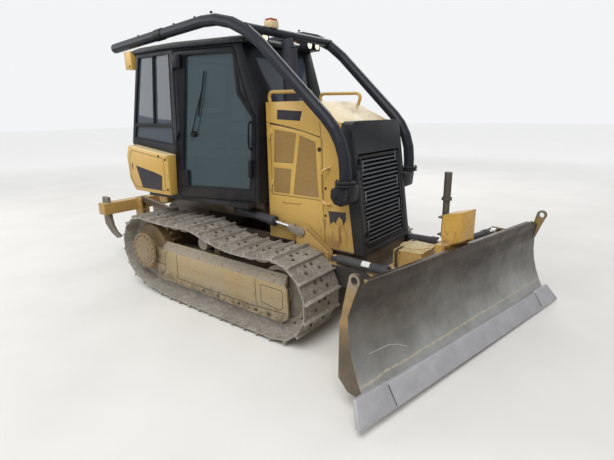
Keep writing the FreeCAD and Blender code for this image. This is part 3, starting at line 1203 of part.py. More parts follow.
def make_tower():
    low = ANGLE_Z + 46 + SEAT
    base = slab_xz([(TOWER_BACK_X, low), (TOWER_BACK_X, TOWER_BASE_Z), (RIB_BACK, TOWER_BASE_Z), (RIB_BACK - 25, low)],
                   -190, 190)
    upper = slab_xz([(TOWER_BACK_X, low), (TOWER_BACK_X, TOWER_TOP_Z - 50), (TOWER_FRONT_X, TOWER_TOP_Z),
                     (TOWER_FRONT_X, TOWER_TOP_Z - 245), (RIB_BACK, TOWER_BASE_Z - 5), (RIB_BACK - 25, low)],
                    -TOWER_HALF, TOWER_HALF)
    tower = fuse([base, upper])
    ears = []
    for x in (TILT_X - 42, TILT_X + 28):
        ears.append(slab_yz([(185, TILT_CYL_Z - 60), (185, TOWER_BASE_Z), (TILT_BASE_Y + 15, TILT_CYL_Z + 28),
                             (TILT_BASE_Y + 30, TILT_CYL_Z), (TILT_BASE_Y + 15, TILT_CYL_Z - 32)], x, x + 14))
    pin = bar((TILT_X - 44, TILT_BASE_Y, TILT_CYL_Z), (TILT_X + 44, TILT_BASE_Y, TILT_CYL_Z), 16)
    return fuse([tower, pin] + ears)


nodes["blade_carrier"] = at_carrier(make_carrier())
nodes["blade_tower"] = at_carrier(make_tower())
mast = [bar((MAST_X, 0, 905), (MAST_X, 0, MAST_JOINT_Z - 10), MAST_R - 3),
        bar((MAST_X, 0, MAST_JOINT_Z - 12), (MAST_X, 0, MAST_JOINT_Z + 12), MAST_R + 11),
        bar((MAST_X, 0, MAST_JOINT_Z), (MAST_X, 0, MAST_TOP_Z), MAST_R)]
foot = [box(MAST_X - MAST_R - 10, TOWER_BACK_X - SEAT, -MAST_R - 12, MAST_R + 12, z, z + 14) for z in (925, 1075)]
nodes["mast"] = at_carrier(fuse(mast + foot))

# Angle cylinders
angle_nodes = {}
for side, sign in (("right", -1), ("left", 1)):
    base = (ANGLE_BASE_X, sign * ANGLE_BASE_Y, ANGLE_Z)
    ex, ey = rotated((YOKE_X + NOSE_X, sign * ANGLE_EYE_Y), (NOSE_X, 0), BLADE_ANGLE)
    eye = (ex, ey, ANGLE_Z)
    near = rotated((YOKE_X + NOSE_X, sign * ANGLE_EYE_Y), (NOSE_X, 0), sign * ANGLE_LIMIT)
    closing = span(base, eye) - span(base[:2], near)
    barrel, rod = make_cylinder(base, eye, (0, 0, 1), 40, 24, 555, 18, 20, closing)
    nodes["angle_barrel_" + side] = barrel
    nodes["angle_rod_" + side] = rod

# Tilt cylinder
tilt_base = (TILT_X, TILT_BASE_Y, TILT_CYL_Z)
tilt_eye = (TILT_X,) + rotated((TILT_EYE_Y, TILT_CYL_Z), (0, TILT_Z), -BLADE_TILT)


def tilt_span(angle):
    y, z = rotated((TILT_EYE_Y, TILT_CYL_Z), (0, TILT_Z), angle)
    return hypot(y - TILT_BASE_Y, z - TILT_CYL_Z)


tilt_closing = tilt_span(-BLADE_TILT) - tilt_span(TILT_LIMIT)
barrel, rod = make_cylinder(tilt_base, tilt_eye, (1, 0, 0), 34, 20, 330, 16, 24, tilt_closing + 10)
nodes["tilt_barrel"] = at_carrier(barrel)
nodes["tilt_rod"] = at_carrier(rod)

# Ripper
rear_x = RIP_PIVOT_X - RIP_REACH
rear_z = RIP_PIVOT_Z + RIP_RISE
BEAM_X = rear_x - 127
BEAM_Z = rear_z + RIP_SPREAD / 2 + 35


def make_link(z, y):
    """One flat link from its front pin to its rear pin."""
    x0, x1 = RIP_PIVOT_X, rear_x
    z1 = z + RIP_RISE
    strip = slab_xz([(x0, z - 34), (x0, z + 34), (x1, z1 + 34), (x1, z1 - 34)], y - 22, y + 22)
    ends = [pin_y(x0, z, 38, y - 26, y + 26), pin_y(x1, z1, 38, y - 26, y + 26)]
    out = fuse([strip] + ends)
    return out.cut(pin_y(x0, z, 24 + SEAT, y - 40, y + 40))


lower = [make_link(RIP_PIVOT_Z, y) for y in (-RIP_ARM_Y, RIP_ARM_Y)]
for i in (0, 1):
    y = (-RIP_ARM_Y, RIP_ARM_Y)[i]
    lower[i] = lower[i].cut(pin_y(rear_x, rear_z, 22 + SEAT, y - 40, y + 40))
brace = box(rear_x + 280, rear_x + 340, -RIP_ARM_Y, RIP_ARM_Y, RIP_PIVOT_Z + 20, RIP_PIVOT_Z + 60)
upper = [make_link(RIP_PIVOT_Z + RIP_SPREAD, y) for y in (-RIP_ARM_Y, RIP_ARM_Y)]
upper = [u.cut(pin_y(rear_x, rear_z + RIP_SPREAD, 22 + SEAT, -900, 900)) for u in upper]
nodes["ripper_lower_links"] = fuse(lower + [brace])
nodes["ripper_upper_links"] = Part.makeCompound(upper)


def make_beam():
    s = RIP_BEAM_SIZE / 2
    beam = box(BEAM_X - s, BEAM_X + s, -RIP_BEAM_HALF, RIP_BEAM_HALF, BEAM_Z - s, BEAM_Z + s)
    cheeks = []
    for y in (-RIP_ARM_Y, RIP_ARM_Y):
        for y0 in (y - 62, y + 32):
            cheeks.append(slab_xz([(BEAM_X + 20, rear_z - 30), (rear_x - 10, rear_z - 42), (rear_x + 38, rear_z),
                                   (rear_x + 38, rear_z + RIP_SPREAD), (rear_x - 10, rear_z + RIP_SPREAD + 42),
                                   (BEAM_X + 20, BEAM_Z + s)], y0, y0 + 30))
        for z in (rear_z, rear_z + RIP_SPREAD):
            cheeks.append(pin_y(rear_x, z, 22, y - 62, y + 62))
    for y0 in (-50, 32):
        cheeks.append(slab_xz([(BEAM_X + 20, BEAM_Z - s), (BEAM_X + 20, BEAM_Z + 10), (rear_x, rear_z + 40),
                               (rear_x + 30, rear_z), (rear_x, rear_z - 40)], y0, y0 + 18))
    for y in SHANK_Y:
        cheeks.append(box(BEAM_X - s - 35, BEAM_X - s + 2, y - 75, y + 75, BEAM_Z - 60, BEAM_Z + 60))
    out = fuse([beam] + cheeks)
    for y in SHANK_Y:
        out = out.cut(box(BEAM_X - s - 60, BEAM_X + s - 25, y - RIP_SHANK_T / 2 - SEAT, y + RIP_SHANK_T / 2 + SEAT,
                          BEAM_Z - 300, BEAM_Z + 300))
    return out


SHANK_Y = (-RIP_BEAM_HALF + 90, 0, RIP_BEAM_HALF - 90)


def make_shank(y):
    """Curved shank through the beam, with its point forward."""
    x0 = BEAM_X - RIP_BEAM_SIZE / 2 - 30
    x1 = BEAM_X + RIP_BEAM_SIZE / 2 - 25 - SEAT
    tip = (BEAM_X + 235, RIP_TIP_Z)
    outline = [(x0 + 20, BEAM_Z + 150), (x1, BEAM_Z + 150), (x1, BEAM_Z - 130), (x1 + 30, BEAM_Z - 230),
               (x1 + 90, BEAM_Z - 300), (tip[0], tip[1] + 15), tip, (tip[0] - 60, tip[1] - 22),
               (x1 - 10, BEAM_Z - 330), (x0 + 10, BEAM_Z - 220), (x0, BEAM_Z - 60)]
    return slab_xz(outline, y - RIP_SHANK_T / 2, y + RIP_SHANK_T / 2)


nodes["ripper_beam"] = make_beam()
nodes["ripper_shanks"] = Part.makeCompound([make_shank(y) for y in SHANK_Y])
rip_base = (RIP_PIVOT_X, 0, RIP_CYL_Z)
rip_eye = (rear_x, 0, rear_z)
barrel, rod = make_cylinder(rip_base, rip_eye, (0, 1, 0), 42, 24, 430, 22, 24, 40)
nodes["ripper_barrel"] = barrel
nodes["ripper_rod"] = rod

export_nodes()
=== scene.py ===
import json
from math import atan2, cos, pi, radians, sin
import bmesh
import bpy
from mathutils import Matrix, Vector
from mathutils.bvhtree import BVHTree

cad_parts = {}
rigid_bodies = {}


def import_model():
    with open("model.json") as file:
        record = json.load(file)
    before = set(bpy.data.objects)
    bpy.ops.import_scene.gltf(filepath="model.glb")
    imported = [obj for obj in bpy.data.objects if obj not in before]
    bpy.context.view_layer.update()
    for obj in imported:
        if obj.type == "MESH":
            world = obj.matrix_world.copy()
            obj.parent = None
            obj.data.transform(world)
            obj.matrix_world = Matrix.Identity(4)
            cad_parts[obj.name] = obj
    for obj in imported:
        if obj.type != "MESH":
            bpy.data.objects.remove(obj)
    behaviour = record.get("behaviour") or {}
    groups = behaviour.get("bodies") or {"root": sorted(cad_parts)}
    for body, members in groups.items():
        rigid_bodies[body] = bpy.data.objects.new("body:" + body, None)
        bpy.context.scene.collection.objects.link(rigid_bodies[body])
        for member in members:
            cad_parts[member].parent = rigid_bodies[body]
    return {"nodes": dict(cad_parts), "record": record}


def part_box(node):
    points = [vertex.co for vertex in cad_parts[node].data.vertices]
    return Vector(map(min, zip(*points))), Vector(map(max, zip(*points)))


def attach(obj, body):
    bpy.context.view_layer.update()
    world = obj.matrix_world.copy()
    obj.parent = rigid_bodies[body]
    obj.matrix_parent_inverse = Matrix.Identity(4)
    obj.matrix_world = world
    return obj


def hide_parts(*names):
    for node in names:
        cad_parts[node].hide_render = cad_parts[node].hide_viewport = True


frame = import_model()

# A crawler bulldozer in faded yellow paint. Metres, +X forward, +Y to the machine's left, +Z up.
# Mirrored pieces are built for the right side, which faces -Y.
for name in ("Cube", "Light", "Camera"):
    if name in bpy.data.objects:
        bpy.data.objects.remove(bpy.data.objects[name])
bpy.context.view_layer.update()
scene = bpy.context.scene
NODES = frame["nodes"]
UP = Vector((0, 0, 1))
ACROSS = Vector((0, 1, 0))
AHEAD = Vector((1, 0, 0))
OUT = Vector((0, -1, 0))
tilt_axis = next(j["axis"] for j in frame["record"]["behaviour"]["joints"] if j["name"] == "blade_tilt")
BLADE_TURN = atan2(tilt_axis[1], tilt_axis[0])
BLADE_AHEAD = Vector((cos(BLADE_TURN), sin(BLADE_TURN), 0))
BLADE_ASIDE = Vector((-sin(BLADE_TURN), cos(BLADE_TURN), 0))


# Shading
def rgb(r, g, b):
    """Linear colour from a screen colour of 0 to 255."""
    out = []
    for c in (r, g, b):
        c /= 255.0
        out.append(c / 12.92 if c <= 0.04045 else ((c + 0.055) / 1.055) ** 2.4)
    return (out[0], out[1], out[2], 1.0)


class Shader:
    """A material with short ways to add and join its nodes."""

    def __init__(self, name, **fixed):
        self.mat = bpy.data.materials.new(name)
        self.mat.use_nodes = True
        self.tree = self.mat.node_tree
        self.bsdf = self.tree.nodes["Principled BSDF"]
        for key, value in fixed.items():
            self.bsdf.inputs[key.replace("_", " ").title().replace("Ior", "IOR")].default_value = value
        self.coords = self.tree.nodes.new("ShaderNodeTexCoord")

    def add(self, kind, inputs=(), **attrs):
        node = self.tree.nodes.new(kind)
        for key, value in attrs.items():
            setattr(node, key, value)
        for socket, value in inputs:
            if isinstance(value, bpy.types.NodeSocket):
                self.tree.links.new(value, node.inputs[socket])
            else:
                node.inputs[socket].default_value = value
        return node

    def noise(self, scale, detail=4.0, rough=0.55, stretch=(1, 1, 1), offset=0.0):
        place = self.add("ShaderNodeMapping", [("Vector", self.coords.outputs["Object"]), ("Scale", stretch),
                                               ("Location", (offset, offset * 0.7, offset * 1.3))])
        tex = self.add("ShaderNodeTexNoise", [("Vector", place.outputs[0]), ("Scale", scale),
                                              ("Detail", detail), ("Roughness", rough)])
        return tex.outputs[0]

    def between(self, value, low, high, out_low=0.0, out_high=1.0):
        levels = [(0, value), (1, low), (2, high), (3, out_low), (4, out_high)]
        return self.add("ShaderNodeMapRange", levels).outputs[0]

    def patches(self, grain, low, high, out_low=0.0, out_high=1.0, **place):
        """Noise of a grain (scale, detail, roughness), cut between two levels."""
        return self.between(self.noise(*grain, **place), low, high, out_low, out_high)

    def math(self, op, a, b=0.0, clamp=True):
        return self.add("ShaderNodeMath", [(0, a), (1, b)], operation=op, use_clamp=clamp).outputs[0]

    def times(self, a, b):
        return self.math("MULTIPLY", a, b)

    def mix(self, share, a, b):
        return self.add("ShaderNodeMix", [(0, share), (6, a), (7, b)], data_type="RGBA").outputs[2]

    def height(self):
        return self.add("ShaderNodeSeparateXYZ", [(0, self.coords.outputs["Object"])]).outputs[2]

    def vector(self, op, coords, other):
        pair = [(0, self.coords.outputs[coords]), (1, other)]
        return self.add("ShaderNodeVectorMath", pair, operation=op).outputs["Value"]

    def facing(self, direction):
        """How far the surface faces a direction of its own body, -1 to 1."""
        return self.vector("DOT_PRODUCT", "Normal", direction)

    def edges(self):
        """How far a point lies on a broken edge, as stored when the edge was rounded."""
        return self.add("ShaderNodeAttribute", attribute_name="wear").outputs["Fac"]

    def near(self, place, inside, outside):
        """1 within a distance of a place, falling to 0 further out."""
        return self.between(self.vector("DISTANCE", "Object", place), inside, outside, 1.0, 0.0)

    def drive(self, name, socket):
        self.tree.links.new(socket, self.bsdf.inputs[name])

    def colour(self, socket):
        self.drive("Base Color", socket)

    def rough(self, socket):
        self.drive("Roughness", socket)

    def bump(self, height, strength, distance):
        settings = [("Height", height), ("Strength", strength), ("Distance", distance)]
        self.drive("Normal", self.add("ShaderNodeBump", settings).outputs[0])


DUST = rgb(158, 149, 133)
RUST = rgb(112, 62, 34)


def dust_mask(s, low, high, share, top_share):
    """Dust that thickens towards the ground and lies on what faces up."""
    by_height = s.between(s.height(), high, low, 0.0, share)
    on_top = s.between(s.facing(UP), 0.6, 0.95, 0.0, top_share)
    both = s.math("MAXIMUM", by_height, on_top)
    patchy = s.patches((3.2, 6, 0.65), 0.34, 0.62, 0.35, 1.0)
    fine = s.patches((38.0, 5, 0.7), 0.3, 0.7, 0.75, 1.0, offset=3.0)
    return s.times(s.times(both, patchy), fine)


def caked_mud(s, tone):
    """Dried mud on the sloping shoulder and along the foot of the track frame's cover."""
    slope = s.between(s.facing(UP), 0.3, 0.5)
    foot = s.between(s.height(), 0.30, 0.22)
    torn = s.patches((13.0, 6, 0.7), 0.42, 0.56, 0.0, 0.8, offset=14.0)
    caked = s.patches((9.0, 6, 0.65), 0.3, 0.55, 0.55, 0.95, offset=15.0)
    tone = s.mix(s.times(slope, caked), tone, rgb(136, 127, 112))
    tone = s.mix(s.times(foot, torn), tone, rgb(104, 96, 80))
    flecks = s.patches((48.0, 6, 0.72), 0.575, 0.60, 0.0, 0.7, offset=16.0)
    tone = s.mix(s.times(s.math("MAXIMUM", slope, foot), flecks), tone, rgb(62, 54, 44))
    crumbs = s.patches((62.0, 6, 0.7), 0.59, 0.61, 0.0, 0.6, offset=17.0)
    return s.mix(s.times(slope, crumbs), tone, rgb(176, 168, 152))


def yellow_paint(name, base, faded, ochre, dust=(0.15, 1.15, 0.75, 0.25), fade=0.5, rust=0.0, scuffs=(),
                 caked=False):
    """Paint that fades on top and chips to rust, with scuffs given as (place, reach, stain)."""
    s = Shader(name, specular_ior_level=0.4)
    tone = s.mix(s.patches((1.3, 3, 0.5), 0.3, 0.7, 0.0, 0.55), base, ochre)
    up = s.between(s.facing(UP), 0.25, 0.9, 0.0, fade)
    blotch = s.patches((5.0, 5, 0.6), 0.35, 0.7, 0.75, 1.0, offset=7.0)
    tone = s.mix(s.times(up, blotch), tone, faded)
    streak = s.patches((9.0, 4, 0.6), 0.52, 0.75, 0.0, 0.22, stretch=(1, 1, 0.12), offset=2.0)
    tone = s.mix(streak, tone, ochre)
    worn = s.times(s.edges(), s.patches((24.0, 4, 0.6), 0.42, 0.6))
    tone = s.mix(s.times(worn, 0.7), tone, faded)
    chips = s.patches((46.0, 6, 0.62), 0.66 - rust * 0.12, 0.69 - rust * 0.1, 0.0, 0.85, offset=5.0)
    where = s.patches((2.1, 3, 0.6), 0.5 - rust * 0.2, 0.66 - rust * 0.2, offset=11.0)
    tone = s.mix(s.times(chips, where), tone, RUST)
    for place, reach, stain in scuffs:
        torn = s.patches((15.0, 6, 0.7), 0.47, 0.58, 0.0, 0.9, stretch=(1.0, 1.0, 0.35), offset=13.0)
        tone = s.mix(s.times(s.near(place, reach * 0.35, reach), torn), tone, stain)
    dusty = dust_mask(s, *dust)
    tone = s.mix(dusty, tone, DUST)
    if caked:
        tone = caked_mud(s, tone)
    s.colour(tone)
    s.rough(s.between(dusty, 0.0, 0.6, 0.36, 0.82))
    s.bump(s.noise(60.0, 4, 0.6), 0.06, 0.002)
    return s.mat


def dark_paint(name, base, rough=0.4, dust=(0.2, 1.4, 0.35, 0.35), worn=rgb(96, 94, 90), grime=0.18):
    s = Shader(name, specular_ior_level=0.14)
    tone = s.mix(s.patches((4.0, 5, 0.6), 0.35, 0.7, 0.0, grime), base, worn)
    rubbed = s.times(s.edges(), s.patches((30.0, 3, 0.6), 0.45, 0.6))
    tone = s.mix(s.times(rubbed, 0.6), tone, worn)
    dusty = dust_mask(s, *dust)
    s.colour(s.mix(dusty, tone, DUST))
    s.rough(s.between(dusty, 0.0, 0.5, rough, 0.8))
    s.bump(s.noise(70.0, 3, 0.6), 0.05, 0.0015)
    return s.mat


def worn_steel(name, base, dark, bright, dust=0.5, metal=0.55, rough=0.5, mottle=0.0):
    s = Shader(name, metallic=metal)
    tone = s.mix(s.patches((6.0, 6, 0.65), 0.35, 0.68), base, dark)
    tone = s.mix(s.times(s.edges(), 0.75), tone, bright)
    tone = s.mix(s.patches((70.0, 5, 0.7), 0.55, 0.72, 0.0, 0.6, offset=4.0), tone, dark)
    dusty = s.patches((11.0, 6, 0.7), 0.38, 0.66, dust * 0.35, dust, offset=9.0)
    tone = s.mix(dusty, tone, DUST)
    if mottle:
        tone = s.mix(s.patches((26.0, 6, 0.75), 0.52, 0.60, 0.0, mottle, offset=18.0), tone, bright)
        tone = s.mix(s.patches((34.0, 6, 0.75), 0.56, 0.61, 0.0, mottle, offset=19.0), tone, dark)
    s.colour(tone)
    s.rough(s.between(dusty, 0.0, 0.8, rough, 0.9))
    s.bump(s.noise(90.0, 5, 0.65), 0.25, 0.002)
    return s.mat


YELLOW = rgb(190, 154, 78)
FADED = rgb(208, 194, 150)
OCHRE = rgb(168, 130, 58)
paint = yellow_paint("yellow_faded", YELLOW, FADED, OCHRE, fade=0.85)
HOOD_SCUFFS = (
    ((1.17, 0.05, 1.95), 0.34, rgb(216, 206, 188)),
    ((1.12, 0.16, 1.97), 0.16, RUST),
    ((1.28, -0.43, 0.88), 0.16, RUST),
    ((1.14, -0.43, 0.95), 0.10, RUST),
)
TOWER_SCUFFS = (((2.22, -0.20, 0.80), 0.14, RUST), ((2.16, -0.17, 0.88), 0.10, RUST))
hood_paint = yellow_paint("yellow_hood", YELLOW, FADED, OCHRE, fade=0.85, scuffs=HOOD_SCUFFS)
tower_paint = yellow_paint("yellow_tower", rgb(188, 148, 66), rgb(206, 176, 110), rgb(160, 116, 48),
                           dust=(0.5, 1.0, 0.35, 0.4), rust=0.7, scuffs=TOWER_SCUFFS)
paint_low = yellow_paint("yellow_dusty", rgb(170, 146, 96), rgb(180, 160, 116), rgb(142, 114, 66),
                         dust=(0.0, 1.3, 0.95, 0.85), rust=0.5, caked=True)
# Dark brown paint for the main frame under the cab and for the ripper links.
dark_brown_under_paint = yellow_paint("under_grimy", rgb(68, 54, 40), rgb(94, 78, 58), rgb(50, 39, 30),
                           dust=(0.0, 1.3, 0.36, 0.4), rust=0.8)
arm_paint = yellow_paint("arm_dusty", rgb(172, 138, 70), rgb(214, 196, 142), rgb(130, 98, 48),
                         dust=(0.0, 1.1, 0.42, 0.5), rust=0.8)
nose_paint = yellow_paint("nose_dusty", rgb(196, 172, 116), rgb(206, 190, 146), rgb(168, 142, 88),
                          dust=(0.0, 1.0, 0.6, 0.5), rust=0.4)
hub_paint = yellow_paint("hub_dusty", rgb(128, 102, 62), rgb(144, 120, 80), rgb(100, 80, 54),
                         dust=(0.0, 1.5, 0.42, 0.5))
satin_black = dark_paint("satin_black", rgb(25, 26, 31), dust=(0.2, 1.3, 0.22, 0.2), grime=0.06)
tube_black = dark_paint("tube_black", rgb(32, 34, 42), rough=0.34, dust=(0.2, 1.2, 0.1, 0.05), grime=0.06)
cylinder_black = dark_paint("cylinder_black", rgb(46, 48, 56), dust=(0.2, 1.5, 0.2, 0.16), grime=0.1)
cab_black = dark_paint("cab_black", rgb(16, 17, 23), dust=(0.9, 1.5, 0.12, 0.1), worn=rgb(60, 60, 62),
                       grime=0.1)
roof_black = dark_paint("roof_black", rgb(40, 42, 48), rough=0.5, dust=(0.9, 1.5, 0.15, 0.3), grime=0.15)
stack_black = dark_paint("stack_black", rgb(48, 49, 58), rough=0.6, dust=(0.9, 1.5, 0.1, 0.1),
                         worn=rgb(84, 76, 76), grime=0.3)
track_steel = worn_steel("track_steel", rgb(140, 136, 130), rgb(96, 90, 82), rgb(190, 188, 184),
                         dust=0.6, metal=0.25, mottle=0.4)
hub_grey = worn_steel("hub_grey", rgb(120, 112, 102), rgb(92, 84, 74), rgb(160, 152, 142),
                      dust=0.7, metal=0.3)
ripper_steel = worn_steel("ripper_steel", rgb(110, 104, 98), rgb(74, 64, 56), rgb(170, 166, 160), dust=0.45)
mast_iron = worn_steel("mast_iron", rgb(62, 58, 50), rgb(40, 35, 29), rgb(100, 94, 84),
                       dust=0.16, metal=0.3, rough=0.6)
iron = worn_steel("iron_dark", rgb(70, 66, 62), rgb(40, 36, 34), rgb(110, 104, 98),
                  dust=0.35, metal=0.4, rough=0.6)


def make_rod():
    s = Shader("rod_chrome", metallic=1.0)
    stain = s.patches((14.0, 4, 0.6), 0.45, 0.7, 0.0, 0.4)
    s.colour(s.mix(stain, rgb(214, 214, 212), rgb(150, 144, 134)))
    s.rough(s.patches((20.0, 4, 0.6), 0.3, 0.7, 0.12, 0.34, offset=2.0))
    return s.mat


def make_glass(name, tint, clear, film_tint, shine=0.5):
    """Tinted glass, clear in part, under a thin film of dirt."""
    s = Shader(name, ior=1.45, transmission_weight=clear, specular_ior_level=shine)
    film = s.patches((2.4, 5, 0.65), 0.4, 0.75, 0.0, 0.3)
    s.colour(s.mix(film, tint, film_tint))
    s.rough(s.patches((7.0, 5, 0.7), 0.4, 0.75, 0.0, 0.05, offset=3.0))
    return s.mat


WELD_LOW, WELD_HIGH, WELD_FADE = 0.238, 0.246, 0.006
EAR_LOW, EAR_HIGH = 0.86, 0.93


def make_blade_steel():
    """Scoured bright low down and rusty brown above, with yellow paint on the back."""
    s = Shader("blade_steel")
    front = s.between(s.facing(BLADE_AHEAD), -0.4, -0.2)
    aside = s.math("ABSOLUTE", s.facing(BLADE_ASIDE), clamp=False)
    wander = s.patches((1.6, 5, 0.6), 0.3, 0.7, -0.13, 0.13)
    z = s.math("ADD", s.height(), wander, clamp=False)
    scour = s.patches((7.0, 6, 0.6), 0.3, 0.75, stretch=(1, 1, 0.3))
    grey = s.mix(scour, rgb(116, 114, 110), rgb(100, 96, 90))
    bright = s.mix(scour, rgb(156, 156, 154), rgb(142, 142, 140))
    brown = s.mix(s.patches((4.0, 5, 0.6), 0.35, 0.7, offset=6.0), rgb(34, 27, 18), rgb(64, 52, 38))
    tone = s.mix(s.between(z, 0.42, 0.16), grey, bright)
    tone = s.mix(s.between(z, 0.48, 0.72), tone, brown)
    scratch = s.patches((60.0, 4, 0.6), 0.62, 0.7, 0.0, 0.14, stretch=(0.12, 0.12, 1), offset=4.0)
    tone = s.mix(scratch, tone, rgb(176, 170, 160))
    weave = s.patches((5.0, 4, 0.6), 0.3, 0.7, -0.008, 0.008, offset=12.0)
    level = s.math("ADD", s.height(), weave, clamp=False)
    weld = s.times(s.between(level, WELD_LOW - WELD_FADE, WELD_LOW),
                   s.between(level, WELD_HIGH + WELD_FADE, WELD_HIGH))
    weld = s.times(weld, s.patches((30.0, 4, 0.6), 0.35, 0.6, 0.25, 0.7, offset=3.0))
    tone = s.mix(weld, tone, rgb(186, 176, 146))
    dusty = s.mix(s.patches((14.0, 5, 0.6), 0.35, 0.65, offset=2.0), rgb(122, 110, 92), rgb(148, 138, 122))
    painted = s.mix(s.patches((8.0, 5, 0.6), 0.35, 0.65, offset=5.0), rgb(176, 142, 80), rgb(140, 118, 84))
    grimy = s.mix(s.patches((6.0, 5, 0.6), 0.35, 0.65, offset=9.0), rgb(88, 76, 58), rgb(112, 98, 78))
    painted = s.mix(s.between(s.height(), 0.66, 0.46), painted, grimy)
    end_plate = s.mix(s.between(s.height(), EAR_HIGH, EAR_LOW), dusty, painted)
    tone = s.mix(s.between(aside, 0.75, 0.9, 0.0, 0.9), tone, end_plate)
    back = s.mix(s.patches((3.0, 5, 0.6), 0.4, 0.65, 0.1, 0.75, offset=1.0), rgb(196, 160, 78), DUST)
    s.colour(s.mix(front, back, tone))
    s.drive("Metallic", s.times(front, s.between(z, 0.48, 0.72, 0.7, 0.3)))
    s.rough(s.patches((12.0, 4, 0.6), 0.3, 0.7, 0.36, 0.55, offset=8.0))
    s.bump(s.noise(22.0, 5, 0.6, stretch=(1, 1, 0.5)), 0.07, 0.003)
    return s.mat


def make_grille_black():
    """Black paint, with a painted highlight in pale grey on the louvre faces that point straight ahead."""
    s = Shader("grille_black", specular_ior_level=0.2, roughness=0.5)
    # Faces that point straight ahead turn pale grey: a painted highlight on the front faces of the louvres.
    ahead_highlight = s.between(s.facing(AHEAD), 0.994, 0.997)
    # This noise only varies the strength of that painted highlight.
    dusty = s.patches((9.0, 5, 0.6), 0.3, 0.7, 0.75, 1.0)
    dark = s.mix(s.patches((5.0, 4, 0.6), 0.4, 0.7, 0.0, 0.2, offset=3.0), rgb(11, 12, 15), rgb(52, 50, 48))
    s.colour(s.mix(s.times(ahead_highlight, dusty), dark, rgb(92, 94, 99)))
    s.bump(s.noise(70.0, 3, 0.6), 0.05, 0.0015)
    return s.mat


grille_black = make_grille_black()
rod_chrome = make_rod()
blade_steel = make_blade_steel()
edge_steel = worn_steel("edge_steel", rgb(168, 169, 176), rgb(150, 150, 156), rgb(204, 204, 206),
                        dust=0.3, metal=0.35, rough=0.42)
glass_teal = make_glass("glass_teal", rgb(122, 152, 162), 0.89, rgb(136, 152, 160))
glass_grey = make_glass("glass_grey", rgb(84, 94, 106), 0.5, rgb(96, 104, 116), shine=0.15)
fabric = dark_paint("seat_fabric", rgb(44, 44, 46), rough=0.85, dust=(0.9, 1.2, 0.1, 0.1), grime=0.4)
plastic = dark_paint("interior_plastic", rgb(52, 52, 54), rough=0.6, dust=(0.9, 1.3, 0.15, 0.15))

FINISHES = (
    # finish, its nodes; a star stands for the right and the left one
    (paint, "hood_rails side_box_* fuel_tank engine_door_*"),
    (hood_paint, "hood"),
    (tower_paint, "blade_tower"),
    (paint_low, "track_frame_*"),
    (arm_paint, "c_frame blade_carrier ripper_beam"),
    (dark_brown_under_paint, "main_frame ripper_lower_links ripper_upper_links"),
    (hub_paint, "sprocket_*"),
    (satin_black, "radiator_guard sweep_brackets"),
    (cab_black, "cab_frame fenders work_lamps cab_door_*"),
    (roof_black, "cab_roof"),
    (tube_black, "sweeps"),
    (stack_black, "exhaust_stack"),
    (grille_black, "grille_door"),
    (cylinder_black, "lift_barrel_* angle_barrel_* tilt_barrel ripper_barrel"),
    (rod_chrome, "lift_rod_* angle_rod_* tilt_rod ripper_rod"),
    (glass_teal, "cab_door_glass_*"),
    (glass_grey, "cab_glass"),
    (plastic, "seat_base operator_console"),
    (fabric, "seat_cushion"),
    (track_steel, "track_*"),
    (hub_grey, "rollers_*"),
    (iron, "engine_block radiator_core"),
    (mast_iron, "mast"),
    (blade_steel, "moldboard"),
    (edge_steel, "cutting_edge"),
    (ripper_steel, "ripper_shanks"),
)
FINISH = {}
for finish, nodes in FINISHES:
    for node in nodes.split():
        for side in ("right", "left"):
            FINISH[node.replace("*", side)] = finish
for name, node in NODES.items():
    for place in node.material_slots:
        place.material = FINISH[name]


# Mesh helpers
def body_of(node):
    return NODES[node].parent.name.replace("body:", "")


def broken(bm, edges, width):
    """Rounds the edges given."""
    return bmesh.ops.bevel(bm, geom=edges, offset=width, segments=2, profile=0.5, affect="EDGES",
                           clamp_overlap=True)


def soften(bm, width, angle=28.0):
    """Rounds every edge sharper than the angle, and marks what lies on the rounding as worn."""
    sharp = [e for e in bm.edges if e.is_manifold and e.calc_face_angle(0.0) > radians(angle)]
    wear = bm.verts.layers.float.new("wear")
    made = broken(bm, sharp, width)
    strips = set(made["faces"])
    for vert in made["verts"]:
        if all(face in strips for face in vert.link_faces):
            vert[wear] = 1.0


def piece(name, bm, material, body, replaces=(), smooth=32.0):
    mesh = bpy.data.meshes.new(name)
    bmesh.ops.recalc_face_normals(bm, faces=bm.faces)
    bm.to_mesh(mesh)
    bm.free()
    for face in mesh.polygons:
        face.use_smooth = True
    mesh.set_sharp_from_angle(angle=radians(smooth))
    mesh.materials.append(material)
    obj = bpy.data.objects.new(name, mesh)
    scene.collection.objects.link(obj)
    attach(obj, body)
    if replaces:
        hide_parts(*replaces)
    return obj


def dress(name, build, material, body):
    bm = bmesh.new()
    build(bm)
    piece(name, bm, material, body)


SOCKET_ASIDE = 0.4137
SOCKET_HALF = 0.145
SOCKET_LOW, SOCKET_HIGH = 0.41, 0.66
SOCKET_AHEAD = 2.245
SOCKET_PROUD = 0.04


